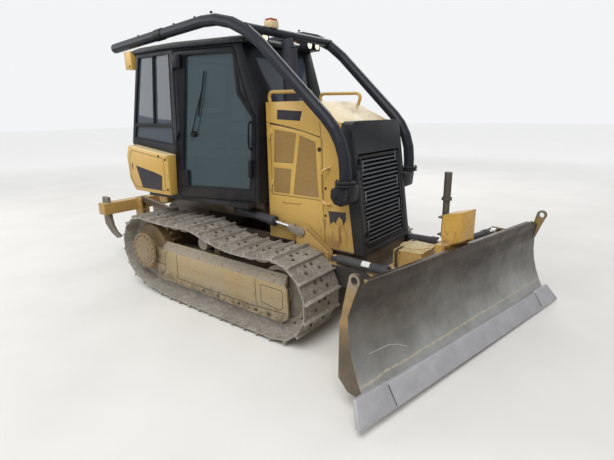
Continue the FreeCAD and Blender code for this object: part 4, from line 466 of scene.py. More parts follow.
def trim_socket(bm):
    """Brings the front of the blade's pivot socket flush with the face of the moldboard."""
    tree = BVHTree.FromBMesh(bm)

    def on_socket(vert):
        across = abs(vert.co.dot(BLADE_ASIDE) - SOCKET_ASIDE) < SOCKET_HALF
        return across and SOCKET_LOW < vert.co.z < SOCKET_HIGH and vert.co.dot(BLADE_AHEAD) > SOCKET_AHEAD

    for level in (0.46, 0.48, 0.50, 0.52, 0.54, 0.56, 0.58, 0.60, 0.62):
        faces = [f for f in bm.faces if all(on_socket(v) for v in f.verts)]
        geom = faces + list({e for f in faces for e in f.edges}) + list({v for f in faces for v in f.verts})
        bmesh.ops.bisect_plane(bm, geom=geom, plane_co=(0, 0, level), plane_no=UP)
    for vert in bm.verts:
        if on_socket(vert):
            start = BLADE_AHEAD * 3.0 + BLADE_ASIDE * (SOCKET_ASIDE - 0.2) + UP * vert.co.z
            hit = tree.ray_cast(start, -BLADE_AHEAD)[0]
            beyond = vert.co.dot(BLADE_AHEAD) - hit.dot(BLADE_AHEAD)
            if 0.0005 < beyond < SOCKET_PROUD:
                vert.co -= BLADE_AHEAD * beyond
    bmesh.ops.remove_doubles(bm, verts=[v for v in bm.verts if on_socket(v)], dist=0.0015)


def rounded(node, width):
    """A copy of a CAD node with its edges broken, in its place."""
    source = NODES[node]
    bm = bmesh.new()
    bm.from_mesh(source.data)
    bmesh.ops.remove_doubles(bm, verts=bm.verts, dist=2e-5)
    if node == "moldboard":
        trim_socket(bm)
    bmesh.ops.dissolve_limit(bm, angle_limit=radians(0.8), verts=bm.verts, edges=bm.edges)
    soften(bm, width)
    return piece(node + "_dressed", bm, FINISH[node], body_of(node), (node,))


ROUNDED = (
    # node, edge width
    ("hood", 0.006), ("cab_roof", 0.012), ("side_box_right", 0.014), ("side_box_left", 0.014),
    ("fuel_tank", 0.014), ("radiator_guard", 0.005), ("engine_door_right", 0.002),
    ("engine_door_left", 0.002), ("c_frame", 0.003), ("blade_tower", 0.005), ("blade_carrier", 0.003),
    ("moldboard", 0.002), ("cutting_edge", 0.0025), ("track_frame_right", 0.004),
    ("track_frame_left", 0.004), ("main_frame", 0.003), ("cab_frame", 0.003),
    ("cab_door_right", 0.003), ("cab_door_left", 0.003), ("ripper_beam", 0.004),
    ("ripper_shanks", 0.004), ("track_right", 0.002), ("track_left", 0.002), ("fenders", 0.002),
    ("sweep_brackets", 0.012), ("ripper_lower_links", 0.003), ("ripper_upper_links", 0.003),
)
for name, width in ROUNDED:
    rounded(name, width)


# Shapes for the dressing
def prism(bm, low, high, edge):
    """Makes two matching rows of corners solid, its edges broken."""
    faces = [bm.faces.new(low), bm.faces.new(list(reversed(high)))]
    for i in range(len(low)):
        k = (i + 1) % len(low)
        faces.append(bm.faces.new((low[k], low[i], high[i], high[k])))
    bmesh.ops.recalc_face_normals(bm, faces=faces)
    if edge:
        broken(bm, list({e for f in faces for e in f.edges}), edge)


def outline_slab(bm, outline, y0, y1, edge=0.0):
    """An outline in X and Z made solid between two Y planes, its edges broken."""
    low = [bm.verts.new((x, y0, z)) for x, z in outline]
    high = [bm.verts.new((x, y1, z)) for x, z in outline]
    prism(bm, low, high, edge)


def bevelled_box(bm, low, high, edge):
    outline_slab(bm, [(low[0], low[2]), (high[0], low[2]), (high[0], high[2]), (low[0], high[2])],
                 low[1], high[1], edge)


def rounded_path(points, bend, steps=6):
    """The points with each inner corner turned into a short arc."""
    pts = [Vector(p) for p in points]
    out = [pts[0]]
    for before, corner, after in zip(pts, pts[1:], pts[2:]):
        a = before - corner
        b = after - corner
        reach = min(bend, a.length * 0.49, b.length * 0.49)
        a = corner + a.normalized() * reach
        b = corner + b.normalized() * reach
        for i in range(steps + 1):
            t = i / steps
            out.append(a.lerp(corner, t).lerp(corner.lerp(b, t), t))
    return out + [pts[-1]]


def skin(bm, rings):
    """Joins rings of equal count one after the other, and closes both ends."""
    count = len(rings[0])
    for low, high in zip(rings, rings[1:]):
        for k in range(count):
            j = (k + 1) % count
            bm.faces.new((low[k], low[j], high[j], high[k]))
    bm.faces.new(list(reversed(rings[0])))
    bm.faces.new(rings[-1])


def direction(points, i):
    """Along a line at one of its points, from the one before to the one after."""
    return (points[min(i + 1, len(points) - 1)] - points[max(i - 1, 0)]).normalized()


def sweep_tube(bm, points, radius, sides=14):
    rings = []
    side = (points[1] - points[0]).normalized().orthogonal().normalized()
    for i, point in enumerate(points):
        along = direction(points, i)
        side = (side - along * side.dot(along)).normalized()
        up = along.cross(side)
        ring = []
        for k in range(sides):
            turn = 2 * pi * k / sides
            ring.append(bm.verts.new(point + (side * cos(turn) + up * sin(turn)) * radius))
        rings.append(ring)
    skin(bm, rings)


def turned(bm, profile, place, axis, sides=32):
    """A solid of revolution: profile holds (distance along the axis, radius) pairs."""
    axis = Vector(axis).normalized()
    side = axis.orthogonal().normalized()
    up = axis.cross(side)
    place = Vector(place)
    rings = []
    for along, radius in profile:
        ring = []
        for k in range(sides):
            turn = 2 * pi * (k + 0.5) / sides
            ring.append(bm.verts.new(place + axis * along + (side * cos(turn) + up * sin(turn)) * radius))
        rings.append(ring)
    skin(bm, rings)


def cap(bm, levels, radii, place, axis, sides):
    """A round pad: three levels along the axis, and the radii of its rim and its top."""
    turned(bm, ((levels[0], radii[0]), (levels[1], radii[0]), (levels[2], radii[1])), place, axis, sides)


def bolt_head(bm, place, axis, radius, height):
    """A washer with a six-sided head, its top edge broken."""
    turned(bm, ((-0.002, radius * 1.35), (height * 0.25, radius * 1.35)), place, axis, 16)
    turned(bm, ((0.0, radius), (height * 0.85, radius), (height, radius * 0.8)), place, axis, 6)


def bolt_ring(bm, centre, axis, reach, count, start, radius, height):
    """Bolt heads on a circle about the axis, the first a share of a step past straight ahead."""
    second = axis.cross(AHEAD)
    for k in range(count):
        turn = 2 * pi * (k + start) / count
        place = Vector(centre) + (AHEAD * cos(turn) + second * sin(turn)) * reach
        bolt_head(bm, place, axis, radius, height)


def ribbon(bm, points, width, across, lift=0.0008):
    """A flat strip that follows a line on a surface whose outward direction is across."""
    across = Vector(across).normalized()
    rows = []
    for i, base in enumerate(points):
        side = direction(points, i).cross(across).normalized() * (width / 2)
        rows.append([bm.verts.new(base - side - across * 0.001), bm.verts.new(base - side + across * lift),
                     bm.verts.new(base + side + across * lift), bm.verts.new(base + side - across * 0.001)])
    skin(bm, rows)


def on_plane(points, y):
    return [Vector((x, y, z)) for x, z in points]


def groove(bm, points, y, width=0.005, bend=0.0, steps=6):
    """A dark line on an upright face of the right side, its corners rounded."""
    line = on_plane(points, y)
    ribbon(bm, rounded_path(line, bend, steps) if bend else line, width, OUT)


def thin_plate(bm, outline, y, proud=0.0015, sunk=0.001):
    outline_slab(bm, outline, y - proud, y + sunk)


def closed(points):
    return list(points) + [points[0], points[1]]


def flipped(bm):
    bmesh.ops.scale(bm, vec=(1, -1, 1), verts=bm.verts)
    bmesh.ops.reverse_faces(bm, faces=bm.faces)
    return bm


def both_sides(name, build, material, bodies):
    """Builds a piece for the right side and its mirror image for the left."""
    for side, body in zip(("right", "left"), bodies):
        bm = bmesh.new()
        build(bm)
        if side == "left":
            flipped(bm)
        piece(name + "_" + side, bm, material, body)


BASE = ("tractor", "tractor")
CAB_DOORS = ("cab_door_right_body", "cab_door_left_body")
ENGINE_DOORS = ("engine_door_right_body", "engine_door_left_body")


# Undercarriage details
TRACK_Y = 0.8
HUB_X, HUB_Z = -0.93, 0.482
WHEEL_Z = 0.45
IDLER_X = 1.0
HUB_FACE_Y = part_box("sprocket_right")[0][1]
COVER_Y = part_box("track_frame_right")[0][1]


def shoe_seats(node):
    """Middle and outward direction of the flat back of every track shoe."""
    bm = bmesh.new()
    bm.from_mesh(NODES[node].data)
    bmesh.ops.remove_doubles(bm, verts=bm.verts, dist=2e-5)
    bmesh.ops.dissolve_limit(bm, angle_limit=radians(0.5), verts=bm.verts, edges=bm.edges)
    seats = []
    for face in bm.faces:
        middle = face.calc_center_median()
        outward = face.normal.copy()
        wide = max(v.co.y for v in face.verts) - min(v.co.y for v in face.verts)
        away = Vector((middle.x - max(HUB_X, min(IDLER_X, middle.x)), 0, middle.z - WHEEL_Z))
        if wide > 0.45 and 0.04 < face.calc_area() < 0.09 and outward.dot(away) > 0.05:
            seats.append((middle, outward))
    bm.free()
    return seats


def shoe_bolts(side_name, sign):
    bm = bmesh.new()
    for middle, outward in shoe_seats("track_" + side_name):
        along = outward.cross(ACROSS).normalized()
        for dy in (-0.092, -0.042, 0.042, 0.092):
            shift = along * (0.032 if abs(dy) < 0.05 else -0.030)
            place = Vector((middle.x, sign * TRACK_Y + dy, middle.z)) + shift
            bolt_head(bm, place, outward, 0.013, 0.010)
    piece("shoe_bolts_" + side_name, bm, bolt_dark, "tractor")


def hub_dressing(bm):
    bolt_ring(bm, (HUB_X, HUB_FACE_Y + 0.016, HUB_Z), OUT, 0.178, 18, 0, 0.014, 0.018)
    cap(bm, (-0.01, 0.004, 0.008), (0.150, 0.144), (HUB_X, HUB_FACE_Y + 0.012, HUB_Z), OUT, 40)
    bolt_ring(bm, (HUB_X, HUB_FACE_Y + 0.006, HUB_Z), OUT, 0.09, 3, 0.25, 0.012, 0.010)


def frame_seams(bm):
    top = 0.512
    rear_curve = [(-0.60, top), (-0.655, 0.45), (-0.66, 0.36), (-0.655, 0.30), (-0.70, 0.24), (-0.79, 0.232)]
    groove(bm, rear_curve, COVER_Y, 0.006, 0.05)
    for line in (((-0.818, 0.35), (-0.665, 0.345)), ((-0.44, top), (-0.45, 0.23)),
                 ((-0.44, 0.232), (0.66, 0.232), (1.10, 0.262)), ((0.735, top), (0.735, 0.25))):
        groove(bm, line, COVER_Y, 0.006)
    hatch = [(0.80, 0.30), (0.80, 0.47), (1.06, 0.47), (1.06, 0.30), (1.02, 0.275), (0.80, 0.30)]
    groove(bm, hatch, COVER_Y, 0.005, 0.02, 4)
    for x in (-0.02, 0.2, 0.5, 0.73, 0.89):
        thin_plate(bm, [(x - 0.02, 0.185), (x + 0.02, 0.188), (x + 0.018, 0.215), (x - 0.02, 0.212)],
                   COVER_Y, 0.0012, 0.002)


def frame_bolts(bm):
    for x, z in ((-0.74, 0.47), (-0.74, 0.27), (-0.36, 0.205), (0.09, 0.2), (0.36, 0.2), (0.62, 0.2),
                 (0.70, 0.36), (0.705, 0.46), (1.08, 0.44), (1.08, 0.33)):
        bolt_head(bm, (x, COVER_Y, z), OUT, 0.011, 0.008)


bolt_dark = worn_steel("bolt_dark", rgb(66, 60, 54), rgb(44, 38, 32), rgb(110, 104, 98), dust=0.35)
seam_dark = dark_paint("seam_dark", rgb(52, 44, 34), rough=0.9, dust=(0.0, 1.0, 0.2, 0.2))
for side_name, sign in (("right", -1), ("left", 1)):
    shoe_bolts(side_name, sign)
both_sides("hub_bolts", hub_dressing, hub_paint, BASE)
both_sides("frame_seams", frame_seams, seam_dark, BASE)
both_sides("frame_bolts", frame_bolts, paint_low, BASE)


# Engine enclosure details
HOOD_Y = -0.430


def hood_seams(bm):
    curve = [(0.470, 1.872), (0.716, 1.838), (0.903, 1.796), (1.103, 1.747), (1.10, 1.80), (1.092, 1.87)]
    groove(bm, curve, HOOD_Y, bend=0.06)
    groove(bm, [(1.116, 1.74), (1.128, 1.16), (1.150, 0.80)], HOOD_Y)
    groove(bm, [(0.640, 1.128), (0.650, 1.112), (0.855, 1.118), (0.870, 1.134)], HOOD_Y, bend=0.015)


def hood_handle(bm):
    y = HOOD_Y - 0.055
    x = 1.142
    path = [(x + 0.055, HOOD_Y, 1.482), (x + 0.045, y, 1.480), (x, y, 1.44), (x + 0.004, y, 1.20),
            (x + 0.055, y, 1.160), (x + 0.065, HOOD_Y, 1.160)]
    sweep_tube(bm, rounded_path(path, 0.045), 0.0125)
    for px, pz in ((x + 0.055, 1.482), (x + 0.065, 1.160)):
        cap(bm, (-0.001, 0.004, 0.006), (0.024, 0.020), (px, HOOD_Y, pz), OUT, 20)


def hood_plates(bm):
    thin_plate(bm, [(0.600, 1.898), (0.606, 1.985), (0.900, 1.968), (0.872, 1.884)], HOOD_Y)


def torn_plate(bm):
    thin_plate(bm, [(1.185, 1.098), (1.370, 1.105), (1.372, 1.03), (1.345, 0.985), (1.335, 1.03),
                    (1.300, 1.06), (1.275, 1.02), (1.262, 0.992), (1.235, 1.01), (1.225, 0.985),
                    (1.200, 0.99)], HOOD_Y, 0.0012)


def door_latch(bm):
    cap(bm, (-0.001, 0.004, 0.005), (0.020, 0.017), (1.088, HOOD_Y, 1.640), OUT, 24)
    bevelled_box(bm, (1.078, HOOD_Y - 0.010, 1.628), (1.098, HOOD_Y, 1.652), 0.002)
    for z in (1.30, 1.05):
        bolt_head(bm, (1.155, HOOD_Y, z), OUT, 0.009, 0.006)


MESH_OUTLINES = (
    ((0.540, 1.497), (0.562, 1.806), (0.829, 1.774), (0.783, 1.497)),
    ((0.532, 1.205), (0.540, 1.447), (0.758, 1.444), (0.735, 1.205)),
    ((0.775, 1.205), (0.866, 1.760), (1.045, 1.702), (1.076, 1.205)),
)


def screen_wires(bm):
    """Woven wire laid in the three recesses of the engine door, one strip per wire."""
    pitch = 0.011
    for outline in MESH_OUTLINES:
        for along in (0, 1):
            low = min(p[along] for p in outline)
            high = max(p[along] for p in outline)
            for i in range(1, int((high - low) / pitch)):
                level = low + i * pitch
                cuts = []
                for a, b in zip(outline, outline[1:] + outline[:1]):
                    if (a[along] - level) * (b[along] - level) < 0:
                        t = (level - a[along]) / (b[along] - a[along])
                        cuts.append(a[1 - along] + (b[1 - along] - a[1 - along]) * t)
                if len(cuts) == 2:
                    ends = [(c, level) if along else (level, c) for c in sorted(cuts)]
                    depth = HOOD_Y + 0.0022 + 0.0006 * along
                    ribbon(bm, on_plane(ends, depth), 0.0034, OUT, 0.0006)


def screen_backs(bm):
    for outline in MESH_OUTLINES:
        outline_slab(bm, outline, HOOD_Y + 0.0032, HOOD_Y + 0.0045)


mesh_wire = yellow_paint("mesh_wire", rgb(168, 132, 62), rgb(180, 150, 90), rgb(150, 116, 54),
                         dust=(0.3, 2.4, 0.35, 0.2))
mesh_back = dark_paint("mesh_back", rgb(96, 76, 44), rough=0.9, dust=(0.3, 2.4, 0.3, 0.2))
blank_plate = dark_paint("blank_plate", rgb(36, 34, 44), rough=0.35)
both_sides("hood_seams", hood_seams, seam_dark, BASE)
both_sides("hood_handle", hood_handle, paint, BASE)
both_sides("hood_plate", hood_plates, blank_plate, BASE)
both_sides("door_latch", door_latch, seam_dark, BASE)
both_sides("engine_screen_wires", screen_wires, mesh_wire, ENGINE_DOORS)
both_sides("engine_screen_backs", screen_backs, mesh_back, ENGINE_DOORS)
dress("side_plate_torn", torn_plate, blank_plate, "tractor")


GUARD_TOP_X, GUARD_TOP_Z = 1.412, 1.880
GUARD_FOOT_X, GUARD_FOOT_Z = 1.574, 0.746
GUARD_LEAN = (GUARD_FOOT_X - GUARD_TOP_X) / (GUARD_TOP_Z - GUARD_FOOT_Z)


def face_x(z):
    """Front face of the radiator guard at a height."""
    return GUARD_TOP_X + GUARD_LEAN * (GUARD_TOP_Z - z)


def louvre_ties(bm):
    """Short upright ties that join pairs of louvres at alternating ends."""
    ends = ((1, 1.545), (-1, 1.49), (1, 1.305), (-1, 1.235), (1, 1.075), (-1, 0.985))
    for side, z in ends:
        y = side * 0.305
        x = face_x(z) - 0.004
        outline_slab(bm, [(x - 0.006, z - 0.048), (x + 0.003, z - 0.048), (x - 0.004, z + 0.048),
                          (x - 0.013, z + 0.048)], y - 0.006, y + 0.006, 0.002)


def grille_bolts(bm):
    for y in (-0.352, 0.352):
        for z in (0.84, 1.12, 1.40, 1.57):
            bolt_head(bm, (face_x(z) - 0.005, y, z), (1, 0, 0.14), 0.010, 0.007)


# The ties take the same pale grey as the painted highlight on the louvre fronts.
louvre_edge = dark_paint("louvre_edge", rgb(98, 100, 106), rough=0.45, dust=(0.6, 1.4, 0.2, 0.2))
dress("louvre_ties", louvre_ties, louvre_edge, "grille_body")
dress("grille_bolts", grille_bolts, satin_black, "grille_body")


# Cab details
CAB_HALF = 0.770
CAB_FOOT_Z = 1.095
CAB_LEAN = 0.070 / 1.495
CAB_LEAN_NORMAL = 0.0468
CAB_KINK_X = -0.545
CAB_TAPER = 0.216


def cab_side(x, z, out=0.0):
    """A point on the right side of the cab, moved outward."""
    y = -(CAB_HALF - CAB_LEAN * (z - CAB_FOOT_Z) - max(0.0, x - CAB_KINK_X) * CAB_TAPER)
    return Vector((x, y, z)) + side_normal(x) * out


def side_normal(x):
    slope = CAB_TAPER if x > CAB_KINK_X else 0.0
    return Vector((slope, -1.0, CAB_LEAN_NORMAL)).normalized()


def side_block(bm, low, high, out0, out1, edge):
    """A block on the leaning side of the cab, between two corners given as x and z."""
    corners = [(low[0], low[1]), (high[0], low[1]), (high[0], high[1]), (low[0], high[1])]
    inner = [bm.verts.new(cab_side(x, z, out0)) for x, z in corners]
    outer = [bm.verts.new(cab_side(x, z, out1)) for x, z in corners]
    prism(bm, inner, outer, edge)


GLASS_EDGE = ((-0.478, 1.225), (-0.378, 2.518), (0.165, 2.518), (0.205, 2.43), (0.30, 2.13), (0.385, 1.92),
              (0.345, 1.225))


def door_seal(bm):
    line = [cab_side(x, z) for x, z in closed(GLASS_EDGE)]
    ribbon(bm, line, 0.016, side_normal(0.0), 0.004)


def door_gear(bm):
    side_block(bm, (-0.52, 1.22), (-0.40, 1.39), -0.002, 0.014, 0.005)
    side_block(bm, (-0.505, 2.40), (-0.415, 2.525), -0.002, 0.045, 0.012)
    side_block(bm, (0.345, 1.35), (0.385, 1.52), -0.002, 0.04, 0.008)
    for z in (1.26, 1.305, 1.35):
        bolt_head(bm, cab_side(-0.45, z, 0.013), side_normal(0.0), 0.012, 0.005)
    grip = ((1.62, -0.004), (1.64, 0.05), (1.86, 0.05), (1.88, -0.004))
    pull = [cab_side(0.365, z, out) for z, out in grip]
    sweep_tube(bm, rounded_path(pull, 0.03), 0.010, 12)


def door_wiper(bm):
    base = cab_side(-0.315, 1.76, -0.012)
    arm = [base, cab_side(-0.31, 1.77, 0.03), cab_side(-0.235, 2.02, 0.022), cab_side(-0.19, 2.16, 0.012)]
    sweep_tube(bm, rounded_path(arm, 0.02), 0.007, 10)
    blade = [cab_side(-0.245, 1.93, 0.004), cab_side(-0.19, 2.16, 0.006), cab_side(-0.155, 2.36, 0.004)]
    sweep_tube(bm, rounded_path(blade, 0.1), 0.008, 8)
    cap(bm, (-0.004, 0.028, 0.034), (0.032, 0.026), base, side_normal(0.0), 20)


def window_seals(bm):
    for outline in (((-1.30, 1.86), (-1.145, 2.548), (-0.881, 2.548), (-0.936, 1.86)),
                    ((-0.916, 1.86), (-0.864, 2.548), (-0.60, 2.548), (-0.60, 1.86)),
                    ((-1.325, 1.707), (-1.288, 1.830), (-0.60, 1.830), (-0.60, 1.645))):
        ribbon(bm, [cab_side(x, z) for x, z in closed(outline)], 0.012, side_normal(-1.0), 0.003)


rubber = dark_paint("rubber_black", rgb(18, 18, 20), rough=0.7, dust=(0.9, 1.5, 0.15, 0.1))
both_sides("door_seal", door_seal, rubber, CAB_DOORS)
both_sides("door_gear", door_gear, cab_black, CAB_DOORS)
both_sides("door_wiper", door_wiper, rubber, CAB_DOORS)
both_sides("window_seals", window_seals, rubber, BASE)


# Side boxes
BOX_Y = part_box("side_box_right")[0][1]


def box_seams(bm):
    inset = [(-1.26, 1.50), (-1.215, 1.575), (-0.62, 1.508), (-0.62, 1.165), (-1.20, 1.165), (-1.285, 1.27),
             (-1.26, 1.50)]
    groove(bm, inset, BOX_Y, bend=0.03)
    thin_plate(bm, [(-1.235, 1.36), (-1.222, 1.36), (-1.215, 1.43), (-1.228, 1.43)], BOX_Y)
    for x, z in ((-0.70, 1.53), (-0.585, 1.50), (-0.585, 1.18)):
        bolt_head(bm, (x, BOX_Y, z), OUT, 0.010, 0.007)


def box_plate(bm):
    thin_plate(bm, [(-1.150, 1.405), (-0.81, 1.355), (-0.665, 1.325), (-0.69, 1.165), (-1.06, 1.165)], BOX_Y)


both_sides("box_seams", box_seams, seam_dark, BASE)
both_sides("box_plate", box_plate, blank_plate, BASE)


# Lamps
lens_glow = Shader("lamp_lens", roughness=0.15)
glow_patches = lens_glow.between(lens_glow.noise(30.0), 0.3, 0.7)
warm = lens_glow.mix(glow_patches, rgb(255, 236, 200), rgb(255, 250, 236))
lens_glow.colour(warm)
lens_glow.drive("Emission Color", warm)
lens_glow.bsdf.inputs["Emission Strength"].default_value = 0.9
LAMP_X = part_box("work_lamps")[1][0]
LAMP_YS = (-0.47, -0.34, 0.34, 0.47)
LAMP_Z = 2.64
LAMP_COVER = ((-0.14, 2.66), (-0.13, 2.705), (0.012, 2.70), (0.02, 2.672), (0.014, 2.669), (0.006, 2.693),
              (-0.12, 2.696))


def lamp_lenses(bm):
    for y in LAMP_YS:
        turned(bm, ((-0.004, 0.040), (0.002, 0.040), (0.008, 0.030), (0.010, 0.012)),
               (LAMP_X, y, LAMP_Z), AHEAD, 28)


def lamp_bezels(bm):
    for y in LAMP_YS:
        turned(bm, ((-0.003, 0.049), (0.007, 0.049), (0.007, 0.041), (-0.003, 0.041)),
               (LAMP_X, y, LAMP_Z), AHEAD, 28)


def lamp_covers(bm):
    """Pressed covers over each pair of front lamps."""
    for y0, y1 in ((-0.54, -0.27), (0.27, 0.54)):
        outline_slab(bm, [(LAMP_X + x, z) for x, z in LAMP_COVER], y0, y1, 0.002)


dress("lamp_lenses", lamp_lenses, lens_glow.mat, "tractor")
dress("lamp_bezels", lamp_bezels, cab_black, "tractor")
dress("lamp_covers", lamp_covers, paint, "tractor")


# Risers
FOOT_Y = -0.590
FOOT_X = 1.467
FOOT_Z = 1.366
RISER_Y = -0.640
RISER_END_X, RISER_END_Z = -1.7, 2.700
RISER_SLOPE = 0.0587
SLEEVE_X = -0.80


def riser_z(x):
    """Middle of the long tube beside the roof."""
    return RISER_END_Z + (x - RISER_END_X) * RISER_SLOPE


def riser_flanges(bm):
    for z in (FOOT_Z + 0.004, FOOT_Z + 0.030):
        cap(bm, (0.0, 0.014, 0.016), (0.086, 0.080), (FOOT_X, FOOT_Y, z), UP, 32)
    bolt_ring(bm, (FOOT_X, FOOT_Y, FOOT_Z + 0.046), UP, 0.070, 6, 0.5, 0.009, 0.012)
    for x, z in ((1.40, 1.28), (1.45, 1.24)):
        bolt_head(bm, (x, RISER_Y, z), OUT, 0.014, 0.012)


def riser_bolts(bm):
    for x in (-1.2, -0.55, -0.22, 0.02):
        bolt_head(bm, (x, RISER_Y, riser_z(x) + 0.050), (-0.06, 0, 1), 0.011, 0.014)
    turned(bm, ((-0.06, 0.0545), (-0.058, 0.058), (0.058, 0.058), (0.06, 0.0545)),
           (SLEEVE_X, RISER_Y, riser_z(SLEEVE_X)), (1, 0, RISER_SLOPE), 28)
    cap(bm, (-0.003, 0.004, 0.006), (0.050, 0.040), (RISER_END_X, RISER_Y, RISER_END_Z),
        (-1, 0, -RISER_SLOPE), 28)


both_sides("riser_flanges", riser_flanges, satin_black, BASE)
both_sides("riser_bolts", riser_bolts, satin_black, BASE)


BEACON_X, BEACON_Y, BEACON_Z = 0.45, -0.30, 2.68


def beacon_block(bm, half_x, half_y, low, high, edge):
    bevelled_box(bm, (BEACON_X - half_x, BEACON_Y - half_y, BEACON_Z + low),
                 (BEACON_X + half_x, BEACON_Y + half_y, BEACON_Z + high), edge)


def beacon_base(bm):
    """Housing of the beacon on the tube between the risers."""
    beacon_block(bm, 0.045, 0.055, 0.030, 0.095, 0.010)


def beacon_top(bm):
    beacon_block(bm, 0.038, 0.045, 0.094, 0.112, 0.006)


beige = dark_paint("beacon_beige", rgb(206, 186, 148), rough=0.5, worn=rgb(170, 150, 120),
                   dust=(2.0, 2.9, 0.2, 0.3))
red_worn = dark_paint("beacon_red", rgb(150, 62, 40), worn=rgb(170, 110, 80), dust=(2.0, 2.9, 0.2, 0.3))
dress("beacon_base", beacon_base, beige, "tractor")
dress("beacon_top", beacon_top, red_worn, "tractor")


# Rear lamps and nose
def rear_lamp_cover(bm):
    outline_slab(bm, [(-1.424, 2.447), (-1.424, 2.600), (-1.400, 2.634), (-1.290, 2.634), (-1.290, 2.447)],
                 -0.704, -0.556, 0.006)


def rear_lamp_bolt(bm):
    bolt_head(bm, (-1.33, -0.704, 2.475), OUT, 0.008, 0.006)


def rear_lamp_lens(bm):
    cap(bm, (-0.002, 0.004, 0.010), (0.045, 0.030), (-1.424, -0.630, 2.535), (-1, 0, 0), 24)


both_sides("rear_lamp_cover", rear_lamp_cover, paint, BASE)
both_sides("rear_lamp_bolt", rear_lamp_bolt, satin_black, BASE)
both_sides("rear_lamp_lens", rear_lamp_lens, lens_glow.mat, BASE)

NOSE_MID = Vector((1.849, 0.0, 0.770))


def nose_ring(bm):
    cap(bm, (-0.004, 0.006, 0.009), (0.142, 0.136), NOSE_MID, UP, 48)
    bolt_ring(bm, NOSE_MID + UP * 0.009, UP, 0.128, 10, 0, 0.009, 0.008)


def nose_pipe(bm, points, radius):
    path = rounded_path(points, 0.07, 8)
    sweep_tube(bm, path, radius, 12)
    for end, after in ((path[0], path[1]), (path[-1], path[-2])):
        cap(bm, (-0.002, 0.026, 0.028), (radius * 1.5, radius * 1.2), end, after - end, 6)


def nose_pipes(bm):
    for side in (-1, 1):
        nose_pipe(bm, [(1.775, side * 0.238, 0.628), (1.762, side * 0.228, 0.772),
                       (1.748, side * 0.150, 0.772), (1.770, side * 0.085, 0.772)], 0.011)


dress("nose_cover_ring", nose_ring, nose_paint, "c_frame_body")
dress("nose_pipes", nose_pipes, rubber, "c_frame_body")


def arm_plate(bm):
    """A thin black plate on the outer side of the push arm, under the angle cylinder."""
    outline_slab(bm, [(1.19, 0.600), (1.26, 0.635), (1.62, 0.655), (1.70, 0.600), (1.68, 0.480),
                      (1.30, 0.430), (1.19, 0.440)], -0.5265, -0.520, 0.002)


both_sides("arm_plate", arm_plate, satin_black, ("c_frame_body", "c_frame_body"))


ROD_EYE = Vector((0.940, -0.487, 0.888))
FORK_Y = -0.524
FORK_FACE_Y = -0.541
FORK_RADIUS = 0.046


def lift_fork(bm):
    """Outer prong of the lift rod's eye, with its pin cap."""
    eye = Vector((ROD_EYE.x, FORK_Y, ROD_EYE.z))
    back = (Vector((0.030, FORK_Y, 0.990)) - eye).normalized()
    up = Vector((back.z, 0, -back.x))
    spots = []
    for k in range(13):
        turn = pi * (k / 12) - pi / 2
        spots.append(eye - back * FORK_RADIUS * cos(turn) + up * FORK_RADIUS * sin(turn))
    for along, over in ((0.13, 0.030), (0.15, 0.012), (0.15, -0.012), (0.13, -0.030)):
        spots.append(eye + back * along + up * over)
    outline_slab(bm, [(spot.x, spot.z) for spot in spots], FORK_FACE_Y, -0.525, 0.003)
    cap(bm, (-0.001, 0.004, 0.006), (0.022, 0.018), (eye.x, FORK_FACE_Y, eye.z), OUT, 24)
    collar = ROD_EYE + back * 0.115
    turned(bm, ((0.0, 0.026), (0.004, 0.031), (0.05, 0.031), (0.054, 0.026)), collar, back, 24)
    bevelled_box(bm, (collar.x - 0.045, -0.535, collar.z - 0.012),
                 (collar.x - 0.012, -0.50, collar.z + 0.020), 0.003)


eye_steel = worn_steel("eye_steel", rgb(124, 116, 106), rgb(84, 72, 62), rgb(170, 164, 156),
                       dust=0.6, metal=0.3)
both_sides("lift_fork", lift_fork, eye_steel, ("lift_rod_right_body", "lift_rod_left_body"))


# Seams between the cutting edge and its end bits, and an old scrape on the blade
SEAMS_ASIDE = (-0.7584, 1.5652)
SEAM_LEVELS = (0.012, 0.04, 0.07, 0.10, 0.13, 0.16, 0.19, 0.208)
SEAM_SHIFT = 0.006
SCRAPE = ((2.1049, -1.2655, 0.3954), (2.1258, -1.1661, 0.3911), (2.1479, -1.0640, 0.3845),
          (2.1754, -0.9766, 0.3562), (2.2099, -0.8954, 0.3138))


def edge_seams(bm):
    solid = bmesh.new()
    solid.from_mesh(NODES["cutting_edge"].data)
    tree = BVHTree.FromBMesh(solid)
    solid.free()
    for across in SEAMS_ASIDE:
        start = BLADE_AHEAD * 3.2 + BLADE_ASIDE * (across + SEAM_SHIFT)
        hits = [tree.ray_cast(start + UP * level, -BLADE_AHEAD)[0] for level in SEAM_LEVELS]
        points = [hit - BLADE_ASIDE * SEAM_SHIFT for hit in hits if hit is not None]
        ribbon(bm, points, 0.005, BLADE_AHEAD + UP * 0.5, 0.0022)


def blade_scrape(bm):
    ribbon(bm, [Vector(point) for point in SCRAPE], 0.006, (0.93, -0.18, 0.32), 0.0015)


scrape_bright = worn_steel("scrape_bright", rgb(176, 174, 168), rgb(140, 138, 132), rgb(200, 200, 198),
                           dust=0.3, metal=0.3)
dress("edge_seams", edge_seams, rubber, body_of("cutting_edge"))
dress("blade_scrape", blade_scrape, scrape_bright, body_of("moldboard"))


# Blank pale label on the right angle cylinder
def cylinder_label(bm):
    base = Vector((1.300, -0.496, 0.695))
    along = Vector((0.557, -0.033, 0.0)).normalized()
    side = along.cross(UP)
    for k in range(6):
        turn = radians(20 + 11 * k)
        out = UP * cos(turn) + side * sin(turn)
        strip = [base + along * reach + out * 0.0452 for reach in (0.31, 0.39)]
        ribbon(bm, strip, 0.0088, out, 0.0006)


label_white = dark_paint("label_white", rgb(206, 206, 202), rough=0.5, worn=rgb(168, 164, 156),
                         dust=(0.0, 1.4, 0.15, 0.2))
dress("cylinder_label", cylinder_label, label_white, "angle_barrel_right_body")


